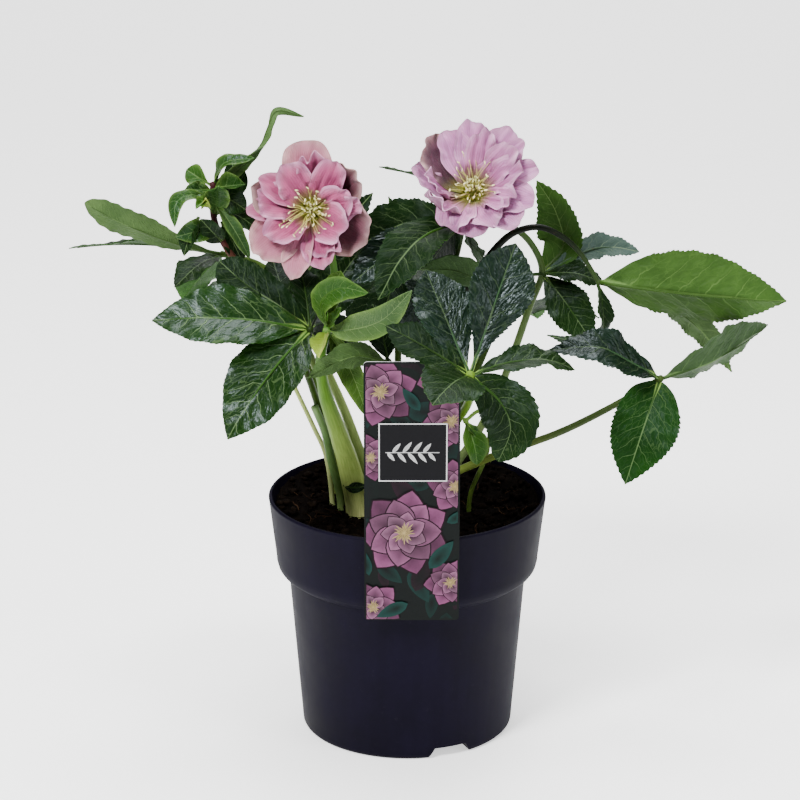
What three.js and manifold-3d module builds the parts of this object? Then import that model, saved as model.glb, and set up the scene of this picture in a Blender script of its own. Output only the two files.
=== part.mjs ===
// A double-flowered hellebore (Lenten rose) in a plastic nursery pot, in millimetres, +Z up.
// The origin is the middle of the pot's foot, on the surface that the pot stands on.
// -Y is the front: both open flowers and the label face that way.
//
// Every leaf, flowering stem and bloom is one closed solid of its own. Blades, petals and stalks are
// all lofts: a row of rings along a curve, joined into one body where they grow out of each other.
import * as THREE from "three";
import { mergeVertices } from "three/addons/utils/BufferGeometryUtils.js";
import Module from "manifold-3d";

const wasm = await Module();
wasm.setup();

// ---------------------------------------------------------------- driving dimensions

const POT = {
  height: 132,
  rimRadius: 75,
  wall: 1.6,
  lip: 2.2, // depth of the rounded lip
  bandFoot: 98, // height at which the rim band ends
  bandRadius: 71,
  shoulderFoot: 87,
  bodyRadius: 64.3, // outer radius just under the shoulder
  footRadius: 57.5,
  footRound: 4,
  floor: 2,
  sides: 32,
};
const NOTCH = { count: 3, first: -66, width: 25, topWidth: 18, height: 6, inner: 26 };
const DRAIN = { radius: 5, ring: 36 };
const SOIL = { top: 121, bump: 2.6, bottom: 10, gap: 0.3, rings: 5, sectors: 20, seed: 11 };
const HOLE_GAP = 0.35; // clearance of a stem in its hole in the soil
const FOOT_SINK = 14; // how far a stem reaches below the soil's mean level

const LABEL = {
  width: 49,
  bottom: 87.5,
  top: 231.5,
  thick: 0.8,
  front: -76.6, // y of the card's middle line where it passes the rim
  lean: 4, // degrees, top towards the front
  middle: 2.2, // x of the card's middle line
  corner: 2,
  stakeWidth: 16,
  stakeTop: 136,
  stakeTip: 64,
  stakePoint: 18, // length of the stake's pointed end
  stakeBack: -70.4, // y of the stake at its top
  stakeLean: 12, // degrees, so that it stays clear of the pot's wall
  fold: 1.2, // thickness of the fold over the rim
};

const BLADE_THICK = 0.75;
const PETAL_THICK = 0.7;
const STALK = { sides: 5, span: 30 }; // spans longer than this get a ring in their middle
const ROOT_OFFSET = 1.2; // how far from the middle of its node a blade starts

// What a bloom's petals grow from, and the straight run of the stem up to it.
const CUP = { depth: 4.5, back: 2.6, front: 5, sides: 9, approach: 9 };
const STAMENS = { count: 11, sides: 3, filament: 0.42, anther: 1, disc: 2.1, discDepth: 3, seed: 5 };
const CARPELS = { count: 3, length: 8, radius: 1 };
const CLEAR = 0.35; // gap between two nodes that meet

// ---------------------------------------------------------------- materials

const paint = (color, roughness, metalness = 0) =>
  new THREE.MeshStandardMaterial({ color, roughness, metalness });
const MATERIALS = {
  pot: paint(0x23232b, 0.55),
  soil: paint(0x1e1511, 0.95),
  label: paint(0x17191c, 0.35),
  leaf: paint(0x1c4416, 0.35),
  youngLeaf: paint(0x5a8a2c, 0.45),
  petal: paint(0xcf8fa6, 0.6),
  stamen: paint(0xd9d382, 0.6),
};

// ---------------------------------------------------------------- small helpers

const vec = (p) => new THREE.Vector3(...p);
const mix = THREE.MathUtils.lerp;
const radians = THREE.MathUtils.degToRad;

// A repeatable random number generator, 0 to 1.
function seeded(seed) {
  let state = seed >>> 0;
  return () => {
    state = (state + 0x6d2b79f5) >>> 0;
    let t = Math.imul(state ^ (state >>> 15), state | 1);
    t ^= t + Math.imul(t ^ (t >>> 7), t | 61);
    return ((t ^ (t >>> 14)) >>> 0) / 4294967296;
  };
}

function solidOf(geometry) {
  const bare = geometry.index ? geometry.toNonIndexed() : geometry.clone();
  bare.deleteAttribute("normal");
  bare.deleteAttribute("uv");
  const merged = mergeVertices(bare, 1e-4);
  return new wasm.Manifold(
    new wasm.Mesh({
      numProp: 3,
      vertProperties: merged.attributes.position.array,
      triVerts: new Uint32Array(merged.index.array),
    }),
  );
}

function geometryOf(solid) {
  const { numProp, numVert, vertProperties, triVerts } = solid.getMesh();
  const position = new Float32Array(numVert * 3);
  for (let i = 0; i < numVert; i++)
    position.set(vertProperties.subarray(i * numProp, i * numProp + 3), i * 3);
  return new THREE.BufferGeometry()
    .setAttribute("position", new THREE.BufferAttribute(position, 3))
    .setIndex(new THREE.BufferAttribute(triVerts, 1));
}

const fuse = (solids) => solids.reduce((whole, piece) => whole.add(piece));

function meshOf(name, solid, material) {
  const mesh = new THREE.Mesh(geometryOf(solid), material);
  mesh.name = name;
  return mesh;
}

// ---------------------------------------------------------------- lofts

// Joins equal rings of points into a closed body. A ring's first half is its upper side, left to
// right, and its second half the lower side, right to left, so the two faces split alike.
function loft(rings) {
  const size = rings[0].length;
  const half = size / 2;
  const positions = rings.flat().flatMap((p) => [p.x, p.y, p.z]);
  const faces = [];
  for (let i = 0; i + 1 < rings.length; i++)
    for (let a = 0; a < size; a++) {
      const b = (a + 1) % size;
      const [p, q, r, s] = [i * size + a, i * size + b, (i + 1) * size + b, (i + 1) * size + a];
      if (a < half) faces.push(p, q, r, p, r, s);
      else faces.push(p, q, s, q, r, s);
    }
  const last = (rings.length - 1) * size;
  for (let j = 0; j + 1 < half; j++) {
    const low = size - 1 - j;
    faces.push(j, low, j + 1, j + 1, low, low - 1);
    faces.push(last + j, last + j + 1, last + low, last + j + 1, last + low - 1, last + low);
  }
  const geometry = new THREE.BufferGeometry();
  geometry.setAttribute("position", new THREE.Float32BufferAttribute(positions, 3));
  geometry.setIndex(faces);
  const solid = solidOf(geometry);
  return solid.volume() < 0 ? solidOf(flipped(geometry)) : solid;
}

function flipped(geometry) {
  const index = Array.from(geometry.index.array);
  for (let i = 0; i < index.length; i += 3) [index[i + 1], index[i + 2]] = [index[i + 2], index[i + 1]];
  return geometry.clone().setIndex(index);
}

// Rings round a curve, at places from 0 to 1, each with its own radius.
function stalkRings(curve, places, radii, sides) {
  const side = new THREE.Vector3(0.6, 0.8, 0).cross(curve.getTangent(0));
  return places.map((place, i) => {
    const middle = curve.getPoint(place);
    const tangent = curve.getTangent(place);
    side.addScaledVector(tangent, -side.dot(tangent)).normalize();
    const other = tangent.clone().cross(side);
    return Array.from({ length: sides }, (_, k) => {
      const angle = (2 * Math.PI * k) / sides;
      return middle
        .clone()
        .addScaledVector(side, radii[i] * Math.cos(angle))
        .addScaledVector(other, radii[i] * Math.sin(angle));
    });
  });
}

// The value at a place from 0 to 1 of a row of values at even steps.
function along(values, place) {
  const step = Math.min(Math.floor(place * (values.length - 1)), values.length - 2);
  return mix(values[step], values[step + 1], place * (values.length - 1) - step);
}

// A stalk through the points, whose radii are given at even steps. sink lengthens it at the root.
function stalk(points, stepRadii, sink = 0) {
  const nodes = points.map(vec);
  const curve = new THREE.CatmullRomCurve3(nodes, false, "centripetal");
  const spans = nodes.length - 1;
  const places = [0];
  for (let i = 0; i < spans; i++) {
    const parts = nodes[i].distanceTo(nodes[i + 1]) > STALK.span ? 2 : 1;
    for (let k = 1; k <= parts; k++) places.push((i + k / parts) / spans);
  }
  const radii = places.map((place) => along(stepRadii, place));
  const rings = stalkRings(curve, places, radii, STALK.sides);
  const down = curve.getTangent(0).multiplyScalar(-sink);
  rings[0].forEach((point) => point.add(down));
  return loft(rings);
}

function knuckle(at, radius, detail = 0) {
  return solidOf(new THREE.IcosahedronGeometry(radius, detail).translate(...at));
}

// ---------------------------------------------------------------- blades

// Stations along a blade. Each tooth rises slowly and falls back sharply, pointing to the tip.
function stations(teeth, rows) {
  if (!teeth)
    return Array.from({ length: rows + 1 }, (_, i) => ({ t: 1 - (1 - i / rows) ** 1.5, tooth: 0 }));
  const list = [0, 0.14].map((t) => ({ t, tooth: 0 }));
  const first = 0.28;
  const pitch = (0.97 - first) / teeth;
  for (let k = 0; k < teeth; k++) {
    list.push({ t: first + k * pitch, tooth: -1 });
    list.push({ t: first + (k + 0.78) * pitch, tooth: 1 });
  }
  list.push({ t: 1, tooth: 0 });
  return list;
}

// Share of the full half width at t, 0 at both ends and 1 at the widest place.
function outline(t, widest, blunt) {
  const rise = (blunt * widest) / (1 - widest);
  const top = widest ** rise * (1 - widest) ** blunt;
  return (t ** rise * (1 - t) ** blunt) / top;
}

// The line and the turning frame of a blade: a bent line from base to tip, whose upper side looks
// along face. bow lifts the middle towards that side, sway pushes it sideways, twist turns the tip.
// A blade with via points follows them instead.
function spine({ from, via = [], to, face, bow = 0, sway = 0, twist = 0 }) {
  const base = vec(from);
  const tip = vec(to);
  const along = tip.clone().sub(base).normalize();
  const up = vec(face).addScaledVector(along, -vec(face).dot(along)).normalize();
  const right = along.clone().cross(up);
  const middle = base.clone().add(tip).multiplyScalar(0.5);
  middle.addScaledVector(up, 2 * bow).addScaledVector(right, 2 * sway);
  const curve = via.length
    ? new THREE.CatmullRomCurve3([base, ...via.map(vec), tip], false, "centripetal")
    : new THREE.QuadraticBezierCurve3(base, middle, tip);
  return (t) => {
    const point = curve.getPoint(t);
    const tangent = curve.getTangent(t);
    const side = tangent.clone().cross(up).normalize();
    side.applyAxisAngle(tangent, radians(twist) * t);
    return { point, side, normal: side.clone().cross(tangent).normalize() };
  };
}

// A leaf blade or a petal as one thin closed body of even thickness. fold lifts both edges (or drops
// them below zero), cup bends them in a round trough, and wave ripples them.
function blade(spec) {
  const {
    width, widest = 0.55, blunt = 0.85, root = 1, fold = 0, cup = 0, wave = 0, waves = 2, phase = 0,
    teeth = 0, toothDepth = 0.7, rows = 7, strips = 2, thick = BLADE_THICK,
  } = spec;
  const frame = spine(spec);
  const rings = stations(teeth, rows).map(({ t, tooth }) => {
    const { point, side, normal } = frame(t);
    const share = t < 1 ? outline(t, widest, blunt) : 0;
    const half = Math.max(root * (1 - 0.55 * t), share * (width / 2)) + (tooth * toothDepth) / 2;
    const upper = [];
    for (let j = 0; j <= strips; j++) {
      const s = (2 * j) / strips - 1;
      const lift =
        half * (fold * Math.abs(s) + cup * s * s) +
        wave * share * s * s * Math.sin(2 * Math.PI * waves * t + phase + (s < 0 ? 1.9 : 0));
      upper.push(point.clone().addScaledVector(side, s * half).addScaledVector(normal, lift));
    }
    const lower = upper.map((p) => p.clone().addScaledVector(normal, -thick)).reverse();
    return [...upper, ...lower];
  });
  return loft(rings);
}

// ---------------------------------------------------------------- pot, soil and label

function potProfile() {
  const P = POT;
  const outer = [
    [0, 0],
    [P.footRadius - P.footRound * 0.7, 0],
    [P.footRadius, P.footRound * 0.7],
    [P.bodyRadius, P.shoulderFoot],
    [P.bandRadius - 2, P.shoulderFoot + 4],
    [P.bandRadius, P.bandFoot],
    [P.rimRadius, P.height - P.lip * 0.5],
    [P.rimRadius - 0.5, P.height],
    [0, P.height],
  ];
  const inner = [
    [0, P.floor],
    [P.footRadius - P.footRound - P.wall, P.floor],
    [P.footRadius - P.wall, P.footRound + P.floor],
    [P.bodyRadius - P.wall, P.shoulderFoot + 1],
    [P.bandRadius - P.wall - 2, P.shoulderFoot + 5],
    [P.bandRadius - P.wall, P.bandFoot],
    [P.rimRadius - P.wall - 0.4, P.height],
    [P.rimRadius - P.wall - 0.4, P.height + 5],
    [0, P.height + 5],
  ];
  return { outer, inner };
}

const lathe = (points, sides) =>
  new THREE.LatheGeometry(points.map(([r, z]) => new THREE.Vector2(r, z)), sides).rotateX(Math.PI / 2);

// A drainage channel under the floor: a wedge-shaped bar that runs in from a notch in the foot.
function channel(grow) {
  const { width, topWidth, height, inner } = NOTCH;
  const low = width / 2 + grow;
  const high = topWidth / 2 + grow;
  const shape = new THREE.Shape([
    new THREE.Vector2(-low, -5),
    new THREE.Vector2(low, -5),
    new THREE.Vector2(low, 0),
    new THREE.Vector2(high, height + grow),
    new THREE.Vector2(-high, height + grow),
    new THREE.Vector2(-low, 0),
  ]);
  const reach = grow ? POT.footRadius - POT.wall * 0.5 : POT.footRadius + 5;
  return new THREE.ExtrudeGeometry(shape, { depth: reach - inner + grow, bevelEnabled: false })
    .translate(0, 0, inner - grow)
    .rotateX(Math.PI / 2)
    .rotateZ(Math.PI / 2);
}

function around(geometry, count, first) {
  return Array.from({ length: count }, (_, k) =>
    solidOf(geometry.clone().rotateZ(radians(first + (360 * k) / count))),
  );
}

function makePot() {
  const { outer, inner } = potProfile();
  const { count, first } = NOTCH;
  let hollow = solidOf(lathe(inner, POT.sides));
  for (const bar of around(channel(POT.wall), count, first)) hollow = hollow.subtract(bar);
  let pot = solidOf(lathe(outer, POT.sides)).subtract(hollow);
  for (const bar of around(channel(0), count, first)) pot = pot.subtract(bar);
  const drain = new THREE.CylinderGeometry(DRAIN.radius, DRAIN.radius, 30, 8)
    .rotateX(Math.PI / 2)
    .translate(DRAIN.ring, 0, 0);
  for (const hole of around(drain, count, first)) pot = pot.subtract(hole);
  return pot;
}

// Inner radius of the pot's wall at a height.
function innerRadius(z) {
  const P = POT;
  const steps = [
    [P.footRound + P.floor, P.footRadius - P.wall],
    [P.shoulderFoot + 1, P.bodyRadius - P.wall],
    [P.shoulderFoot + 5, P.bandRadius - P.wall - 2],
    [P.bandFoot, P.bandRadius - P.wall],
    [P.height, P.rimRadius - P.wall - 0.4],
  ];
  const k = Math.max(1, steps.findIndex(([top]) => z <= top));
  const [[z0, r0], [z1, r1]] = [steps[k - 1], steps[k]];
  return r0 + ((r1 - r0) * (z - z0)) / (z1 - z0);
}

// Lumpy compost: rings of a disc with seeded bumps, higher at the back, on a plug of the pot's shape.
function makeSoil(holes) {
  const random = seeded(SOIL.seed);
  const edge = innerRadius(SOIL.top) * Math.cos(Math.PI / SOIL.sectors) - SOIL.gap;
  const levels = [SOIL.bottom, POT.shoulderFoot, POT.bandFoot];
  const positions = [0, 0, SOIL.bottom];
  const ringAt = (radius, height) => {
    for (let k = 0; k < SOIL.sectors; k++) {
      const angle = (2 * Math.PI * k) / SOIL.sectors;
      positions.push(radius * Math.cos(angle), radius * Math.sin(angle), height(angle));
    }
  };
  for (const z of levels)
    ringAt(innerRadius(z) * Math.cos(Math.PI / POT.sides) - SOIL.gap - 1.2, () => z);
  for (let i = SOIL.rings; i > 0; i--) {
    const share = i / SOIL.rings;
    ringAt(
      edge * share,
      (angle) =>
        SOIL.top + SOIL.bump * (2 * random() - 1) + 4 * share * Math.max(0, Math.sin(angle)) - 3 * share * share,
    );
  }
  positions.push(0, 0, SOIL.top + SOIL.bump);
  const n = SOIL.sectors;
  const faces = [];
  for (let k = 0; k < n; k++) faces.push(0, 1 + ((k + 1) % n), 1 + k);
  const rows = levels.length + SOIL.rings;
  for (let i = 0; i + 1 < rows; i++)
    for (let k = 0; k < n; k++) {
      const [a, b] = [1 + i * n + k, 1 + i * n + ((k + 1) % n)];
      faces.push(a, b, b + n, a, b + n, a + n);
    }
  const top = 1 + rows * n;
  for (let k = 0; k < n; k++) faces.push(top, top - n + k, top - n + ((k + 1) % n));
  const geometry = new THREE.BufferGeometry();
  geometry.setAttribute("position", new THREE.Float32BufferAttribute(positions, 3));
  geometry.setIndex(faces);
  return holes.reduce((soil, hole) => soil.subtract(hole), solidOf(geometry));
}

// A flat plate of the shape, which stands up from the height z0 and leans towards the front.
function plate(shape, thick, lean, y, z0, pivot) {
  return new THREE.ExtrudeGeometry(shape, { depth: thick, bevelEnabled: false, curveSegments: 3 })
    .rotateX(Math.PI / 2)
    .translate(0, thick / 2, z0 - pivot)
    .rotateX(radians(lean))
    .translate(LABEL.middle, y, pivot);
}

// The stake inside the pot; grow widens it on every side, for the slot that it stands in.
function makeStake(grow = 0) {
  const L = LABEL;
  const half = L.stakeWidth / 2 + grow;
  const length = L.stakeTop - L.stakeTip;
  const outline = [
    [-half, length],
    [-half, L.stakePoint],
    [0, -grow],
    [half, L.stakePoint],
    [half, length],
  ].map(([x, y]) => new THREE.Vector2(x, y));
  const thick = L.thick + 2 * grow;
  const shape = new THREE.Shape(outline);
  return solidOf(plate(shape, thick, L.stakeLean, L.stakeBack, L.stakeTip, L.stakeTop));
}

// The card stands outside the rim. A fold over the rim joins it to the stake inside the pot.
function makeLabel() {
  const L = LABEL;
  const shape = roundedCard(L.width, L.top - L.bottom, L.corner);
  const card = plate(shape, L.thick, L.lean, L.front, L.bottom, POT.height);
  const fold = new THREE.BoxGeometry(L.stakeWidth, L.stakeBack - L.front, L.fold).translate(
    L.middle,
    (L.stakeBack + L.front) / 2,
    L.stakeTop - L.fold,
  );
  return fuse([solidOf(card), solidOf(fold), makeStake()]);
}

function roundedCard(width, height, radius) {
  const w = width / 2;
  const shape = new THREE.Shape();
  shape.moveTo(-w + radius, 0);
  shape.lineTo(w - radius, 0);
  shape.absarc(w - radius, radius, radius, -Math.PI / 2, 0);
  shape.lineTo(w, height - radius);
  shape.absarc(w - radius, height - radius, radius, 0, Math.PI / 2);
  shape.lineTo(-w + radius, height);
  shape.absarc(-w + radius, height - radius, radius, Math.PI / 2, Math.PI);
  shape.lineTo(-w, radius);
  shape.absarc(-w + radius, radius, radius, Math.PI, (3 * Math.PI) / 2);
  return shape;
}

// ---------------------------------------------------------------- the plant's plan

// Kinds of blade: large and middling toothed leaflets, and the small smooth leaves of a young stem.
const big = { teeth: 3, fold: 0.18, wave: 1.2, blunt: 0.95 };
const mid = { teeth: 3, fold: 0.2, wave: 1, blunt: 0.95 };
const small = { rows: 4, fold: 0.35, wave: 0.8, root: 0.8 };

// Each leaf: the petiole's points from its foot in the soil to the hub, its radii, and the leaflets
// that spread from the hub, each to its tip with its upper side towards face.
const LEAVES = {
  leaf_right_low: {
    petiole: [[4, 4, 107], [7, 0, 132], [26, -10, 147], [49, -18, 160], [80, -27, 175], [106, -31, 190],
      [132, -34, 207]],
    radii: [2.6, 1.5],
    leaflets: [
      { ...big, to: [113, -58, 157], face: [-0.1, -0.9, 0.4], width: 35, widest: 0.42, bow: 4, fold: 0.08 },
      { ...big, via: [[117, -42, 218], [101, -46, 227]], to: [73, -45, 226], face: [0.1, -0.6, 0.8],
        width: 23 },
      { ...big, to: [192, 5, 225], face: [-0.3, 0.8, 0.5], width: 29, fold: 0.3, bow: -4 },
      { ...mid, via: [[101, -20, 218]], to: [74, -8, 223], face: [0, -0.3, 0.9], width: 11 },
    ],
  },
  leaf_right_large: {
    petiole: [[4, 16, 107], [6, 17, 132], [13, 20, 176], [22, 16, 219], [31, 8, 243], [42, 2, 262],
      [55, -3, 277], [69, -5, 281], [82, -4, 275], [91, -2, 266], [101, 0, 250]],
    radii: [2.6, 2, 1.2],
    leaflets: [
      { ...big, to: [198, -20, 245], face: [0, 0.95, 0.25], width: 42, fold: 0.45, bow: -3, widest: 0.5 },
      { ...big, via: [[132, 12, 237], [158, 26, 217]], to: [177, 30, 191], face: [0.3, 0.8, 0.4],
        width: 18 },
      { ...mid, to: [103, -8, 220], face: [0.7, -0.5, 0.2], width: 14, bow: 2 },
    ],
  },
  leaf_front: {
    petiole: [[4, -8, 107], [7, -10, 132], [19, -42, 176], [31, -74, 207], [31, -96, 228]],
    radii: [2.6, 2],
    leaflets: [
      { ...big, to: [54, -70, 289], face: [0.1, -0.95, 0.25], width: 32, widest: 0.62 },
      { ...big, to: [9, -66, 274], face: [0.3, -0.9, 0.3], width: 30, widest: 0.58 },
      { ...mid, to: [-11, -80, 249], face: [0.1, -0.8, 0.6], width: 21, bow: 3 },
      { ...big, to: [84, -80, 226], face: [0, -0.35, 0.93], width: 20, bow: 8 },
      { ...big, to: [12, -138, 226], face: [0.1, -0.5, 0.85], width: 32, bow: 4 },
      { ...big, via: [[46, -102, 216], [51, -108, 204]], to: [45, -112, 188], face: [0.1, -0.85, 0.5],
        width: 29, widest: 0.5, blunt: 0.7 },
    ],
  },
  leaf_centre: {
    petiole: [[-10, 14, 107], [-9, 14, 134], [10, 8, 192], [19, 5, 238], [26, 0, 266], [29, -13, 285]],
    radii: [2.4, 1.7],
    leaflets: [
      { ...big, via: [[12, -26, 284], [-2, -44, 276]], to: [-15, -60, 257], face: [-0.2, -0.7, 0.7],
        width: 28 },
      { ...big, via: [[-4, -24, 275]], to: [-29, -36, 259], face: [0, -0.75, 0.65], width: 24 },
      { ...big, via: [[-4, 2, 280]], to: [-39, 17, 256], face: [0, -0.6, 0.8], width: 33 },
      { ...mid, via: [[33, 8, 270]], to: [40, 26, 250], face: [0.2, -0.5, 0.85], width: 14 },
      { ...mid, via: [[20, 25, 295], [4, 45, 298]], to: [-15, 62, 298], face: [0.2, 0.3, 0.9], width: 12,
        teeth: 0 },
    ],
  },
  leaf_left: {
    petiole: [[-28, 13, 107], [-29, 13, 126], [-37, 6, 148], [-44, -4, 171], [-50, -20, 197], [-54, -36, 219],
      [-50, -49, 238]],
    radii: [2.3, 1.7],
    leaflets: [
      { ...big, to: [-130, -60, 246], face: [0, -0.7, 0.7], width: 34, bow: 7 },
      { ...big, to: [-91, -86, 191], face: [-0.3, -0.85, 0.4], width: 38, bow: 8, widest: 0.5 },
      { ...mid, via: [[-65, -46, 249], [-83, -38, 259]], to: [-97, -30, 269], face: [0.1, -0.85, 0.5],
        width: 24, widest: 0.65, blunt: 0.6 },
      { ...mid, via: [[-66, -42, 249], [-66, -30, 256]], to: [-71, -14, 268], face: [0.3, -0.8, 0.5],
        width: 22 },
      { ...mid, to: [-57, -22, 267], face: [0.4, -0.9, 0.2], width: 16, bow: 3 },
    ],
  },
  leaf_upper_left: {
    petiole: [[-20, 20, 107], [-21, 20, 130], [-32, 18, 167], [-43, 16, 195], [-57, 14, 229], [-77, 12, 255],
      [-98, 8, 263]],
    radii: [3.2, 1.5],
    leaflets: [
      { ...mid, to: [-169, 0, 293], face: [-0.2, 0.85, 0.45], width: 18, widest: 0.7, blunt: 0.6, bow: -6,
        teeth: 0 },
      { ...mid, to: [-183, 40, 258], face: [0, 0.2, 1], width: 12, bow: 4, teeth: 0 },
      { ...mid, to: [-121, -25, 254], face: [0, -0.3, 0.95], width: 17, bow: 3 },
      { ...big, to: [-121, 22, 234], face: [-0.3, 0.8, 0.5], width: 26, bow: 2 },
    ],
  },
  leaf_centre_low: {
    petiole: [[-12, -8, 107], [-13, -9, 130], [-12, -34, 172], [-10, -53, 222]],
    radii: [2, 1.5],
    leaflets: [
      { ...mid, via: [[-28, -62, 228]], to: [-51, -68, 218], face: [0, 0.85, 0.2], width: 15 },
      { ...mid, to: [-18, -44, 250], face: [0.3, -0.8, 0.3], width: 20, bow: 3 },
    ],
  },
  leaf_back_centre: {
    petiole: [[-6, 30, 107], [-6, 31, 134], [-5, 50, 190], [-6, 72, 238]],
    radii: [2.4, 1.7],
    leaflets: [
      { ...mid, to: [-10, 50, 284], face: [0.7, -0.6, 0.2], width: 10, bow: 3 },
      { ...mid, to: [-31, 66, 202], face: [-0.1, -0.9, 0.4], width: 26, bow: 4 },
      { ...mid, to: [-38, 128, 234], face: [-0.2, 0.3, 0.9], width: 30, bow: 8 },
      { ...mid, to: [12, 140, 222], face: [0, 0.4, 0.9], width: 30, bow: 8 },
      { ...mid, to: [12, 64, 200], face: [0.1, -0.9, 0.4], width: 26, bow: 4 },
    ],
  },
  leaf_back_left: {
    petiole: [[-38, 27, 107], [-39, 32, 134], [-52, 44, 186], [-68, 60, 222]],
    radii: [2.4, 1.7],
    leaflets: [
      { ...mid, to: [-120, 58, 226], face: [-0.2, 0.1, 1], width: 26, bow: 6 },
      { ...mid, to: [-108, 104, 212], face: [-0.2, 0.3, 0.9], width: 28, bow: 8 },
      { ...mid, to: [-66, 126, 206], face: [0, 0.4, 0.9], width: 30, bow: 8 },
      { ...mid, to: [-19, 80, 279], face: [0, -0.7, 0.6], width: 20, bow: 2 },
    ],
  },
  leaf_back_right: {
    petiole: [[12, 28, 107], [13, 29, 132], [36, 54, 178], [50, 74, 205]],
    radii: [2.4, 1.7],
    leaflets: [
      { ...mid, to: [76, 132, 192], face: [0.1, 0.4, 0.9], width: 28, bow: 8 },
      { ...mid, to: [28, 132, 196], face: [-0.2, 0.4, 0.9], width: 26, bow: 8 },
      { ...mid, to: [108, 84, 206], face: [0.2, 0.1, 0.9], width: 26, bow: 8 },
      { ...mid, to: [32, 84, 225], face: [0, -0.8, 0.5], width: 17, bow: 2 },
    ],
  },
};

// Flowering stems carry leafy bracts, whose first point lies on the stem, and end under a bloom.
const STEMS = {
  flower_stem_left: {
    route: [[-27, 0, 107], [-27, 0, 125], [-31, -4, 147], [-37, -18, 173], [-43, -28, 196], [-45, -38, 213],
      [-44, -48, 228], [-41, -54, 239], [-38, -42, 251], [-38, -26, 261], [-41, -15, 275]],
    radii: [6.5, 4.7, 2.6, 2, 1.8],
    node: [-41, -54, 239],
    bloom: "bloom_left",
    bracts: [
      { ...small, via: [[-44, -64, 257], [-34, -71, 266]], to: [-20, -76, 265], face: [0, -0.9, 0.4],
        width: 14, rows: 6 },
      { ...small, to: [-34, -60, 272], face: [-0.3, -0.9, 0.2], width: 12, bow: 2, widest: 0.75 },
      { ...small, via: [[-29, -63, 242], [-13, -73, 250]], to: [2, -79, 267], face: [-0.2, -0.7, 0.6],
        width: 15, rows: 7, wave: 1.8, twist: 50 },
      { ...small, to: [-45, -75, 231], face: [-0.4, -0.8, 0.5], width: 9, cup: 0.8 },
      { ...small, to: [-34, -68, 255], face: [-0.7, -0.5, 0.2], width: 6 },
      { ...small, via: [[-31, -52, 221]], to: [-20, -58, 193], face: [-0.2, -0.9, 0.3], width: 13 },
    ],
  },
  flower_stem_right: {
    route: [[22, 20, 107], [23, 21, 132], [40, 31, 158], [53, 34, 186], [67, 37, 227], [73, 36, 246],
      [66, 29, 264], [52, 16, 278]],
    radii: [2.4, 1.9, 1.4],
    node: [73, 36, 245],
    bloom: "bloom_right",
    bracts: [
      { ...mid, via: [[85, 50, 257], [81, 52, 275]], to: [70, 50, 293], face: [-0.3, -0.9, 0.2], width: 25,
        widest: 0.45, fold: 0.4 },
      { ...mid, to: [106, 30, 241], face: [0, -0.6, 0.8], width: 14, bow: 4 },
      { ...mid, via: [[104, 46, 257]], to: [126, 44, 255], face: [0, -0.5, 0.85], width: 17 },
      { ...big, to: [99, 16, 212], face: [0.2, -0.9, 0.4], width: 24, bow: 4 },
      { ...mid, via: [[50, 6, 251], [38, -5, 253], [24, -9, 259]], to: [8, -10, 260], face: [0.1, 0.9, 0.3],
        width: 19, widest: 0.7, teeth: 0, rows: 9 },
    ],
  },
  flower_stem_young: {
    route: [[-33, 21, 107], [-33, 21, 127], [-38, 14, 160], [-46, 6, 192], [-57, -2, 220], [-76, -6, 246],
      [-89, -8, 262], [-97, -8, 275], [-101, -10, 288], [-101, -10, 306]],
    radii: [2.4, 1.6],
    node: [-101, -10, 297],
    bracts: [
      { ...small, from: [-101, -10, 304], to: [-115, -6, 312], face: [-0.2, -0.9, 0.4], width: 11,
        widest: 0.7 },
      { ...small, from: [-101, -10, 305], via: [[-95, -14, 317]], to: [-79, -18, 321],
        face: [-0.1, -0.6, 0.8], width: 8 },
      { ...small, from: [-101, -10, 304], via: [[-88, -5, 312], [-76, 0, 323], [-72, 0, 333], [-68, 2, 341]],
        to: [-54, 4, 338], face: [0, -0.9, 0.3], width: 7, rows: 11, twist: 200, widest: 0.4, blunt: 0.6 },
      { ...small, from: [-101, -10, 299], via: [[-90, -3, 301]], to: [-92, 4, 315], face: [-0.1, -0.8, 0.5],
        width: 13, widest: 0.65 },
      { ...small, from: [-101, -10, 303], to: [-84, -22, 308], face: [-0.4, -0.6, 0.6], width: 10,
        cup: 0.7 },
      { ...small, from: [-100, -10, 287], to: [-97, -27, 308], face: [0.1, -0.8, 0.5], width: 14, bow: -3 },
      { ...small, from: [-101, -10, 294], via: [[-112, -20, 302], [-119, -25, 299]], to: [-120, -28, 287],
        face: [0, -0.9, 0.3], width: 8, rows: 7, twist: 40 },
      { ...small, from: [-99, -9, 282], to: [-120, -22, 280], face: [0, -0.9, 0.3], width: 12, bow: 3 },
      { ...small, from: [-101, -10, 297], to: [-82, -20, 268], face: [0.3, -0.8, 0.4], width: 8, bow: 3 },
      { ...small, from: [-101, -10, 294], to: [-75, -6, 276], face: [0.2, -0.7, 0.7], width: 12, bow: 4 },
    ],
  },
  cut_petiole: {
    route: [[-36, 8, 107], [-36, 7, 125], [-41, -2, 151], [-44, -13, 171], [-49, -20, 187]],
    radii: [2.4, 2.1],
  },
  pale_petiole: {
    route: [[-41, 13, 107], [-41, 12, 124], [-44, 4, 152], [-50, -4, 170], [-57, -14, 190], [-62, -26, 206]],
    radii: [1.5, 1.1],
    node: [-62, -26, 206],
    bracts: [{ ...small, to: [-75, -32, 211], face: [0, -0.7, 0.7], width: 7 }],
  },
  young_leaf_right: {
    route: [[34, -2, 107], [34, -3, 131], [43, -5, 157], [43, -8, 176], [38, -12, 182], [31, -16, 178]],
    radii: [1.3, 1],
    node: [31, -16, 178],
    bracts: [
      { ...small, to: [37, -24, 158], face: [0.5, -0.8, 0.2], width: 11, bow: 2 },
      { ...small, to: [38, -20, 170], face: [0.4, -0.8, 0.3], width: 5 },
    ],
  },
};

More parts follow.
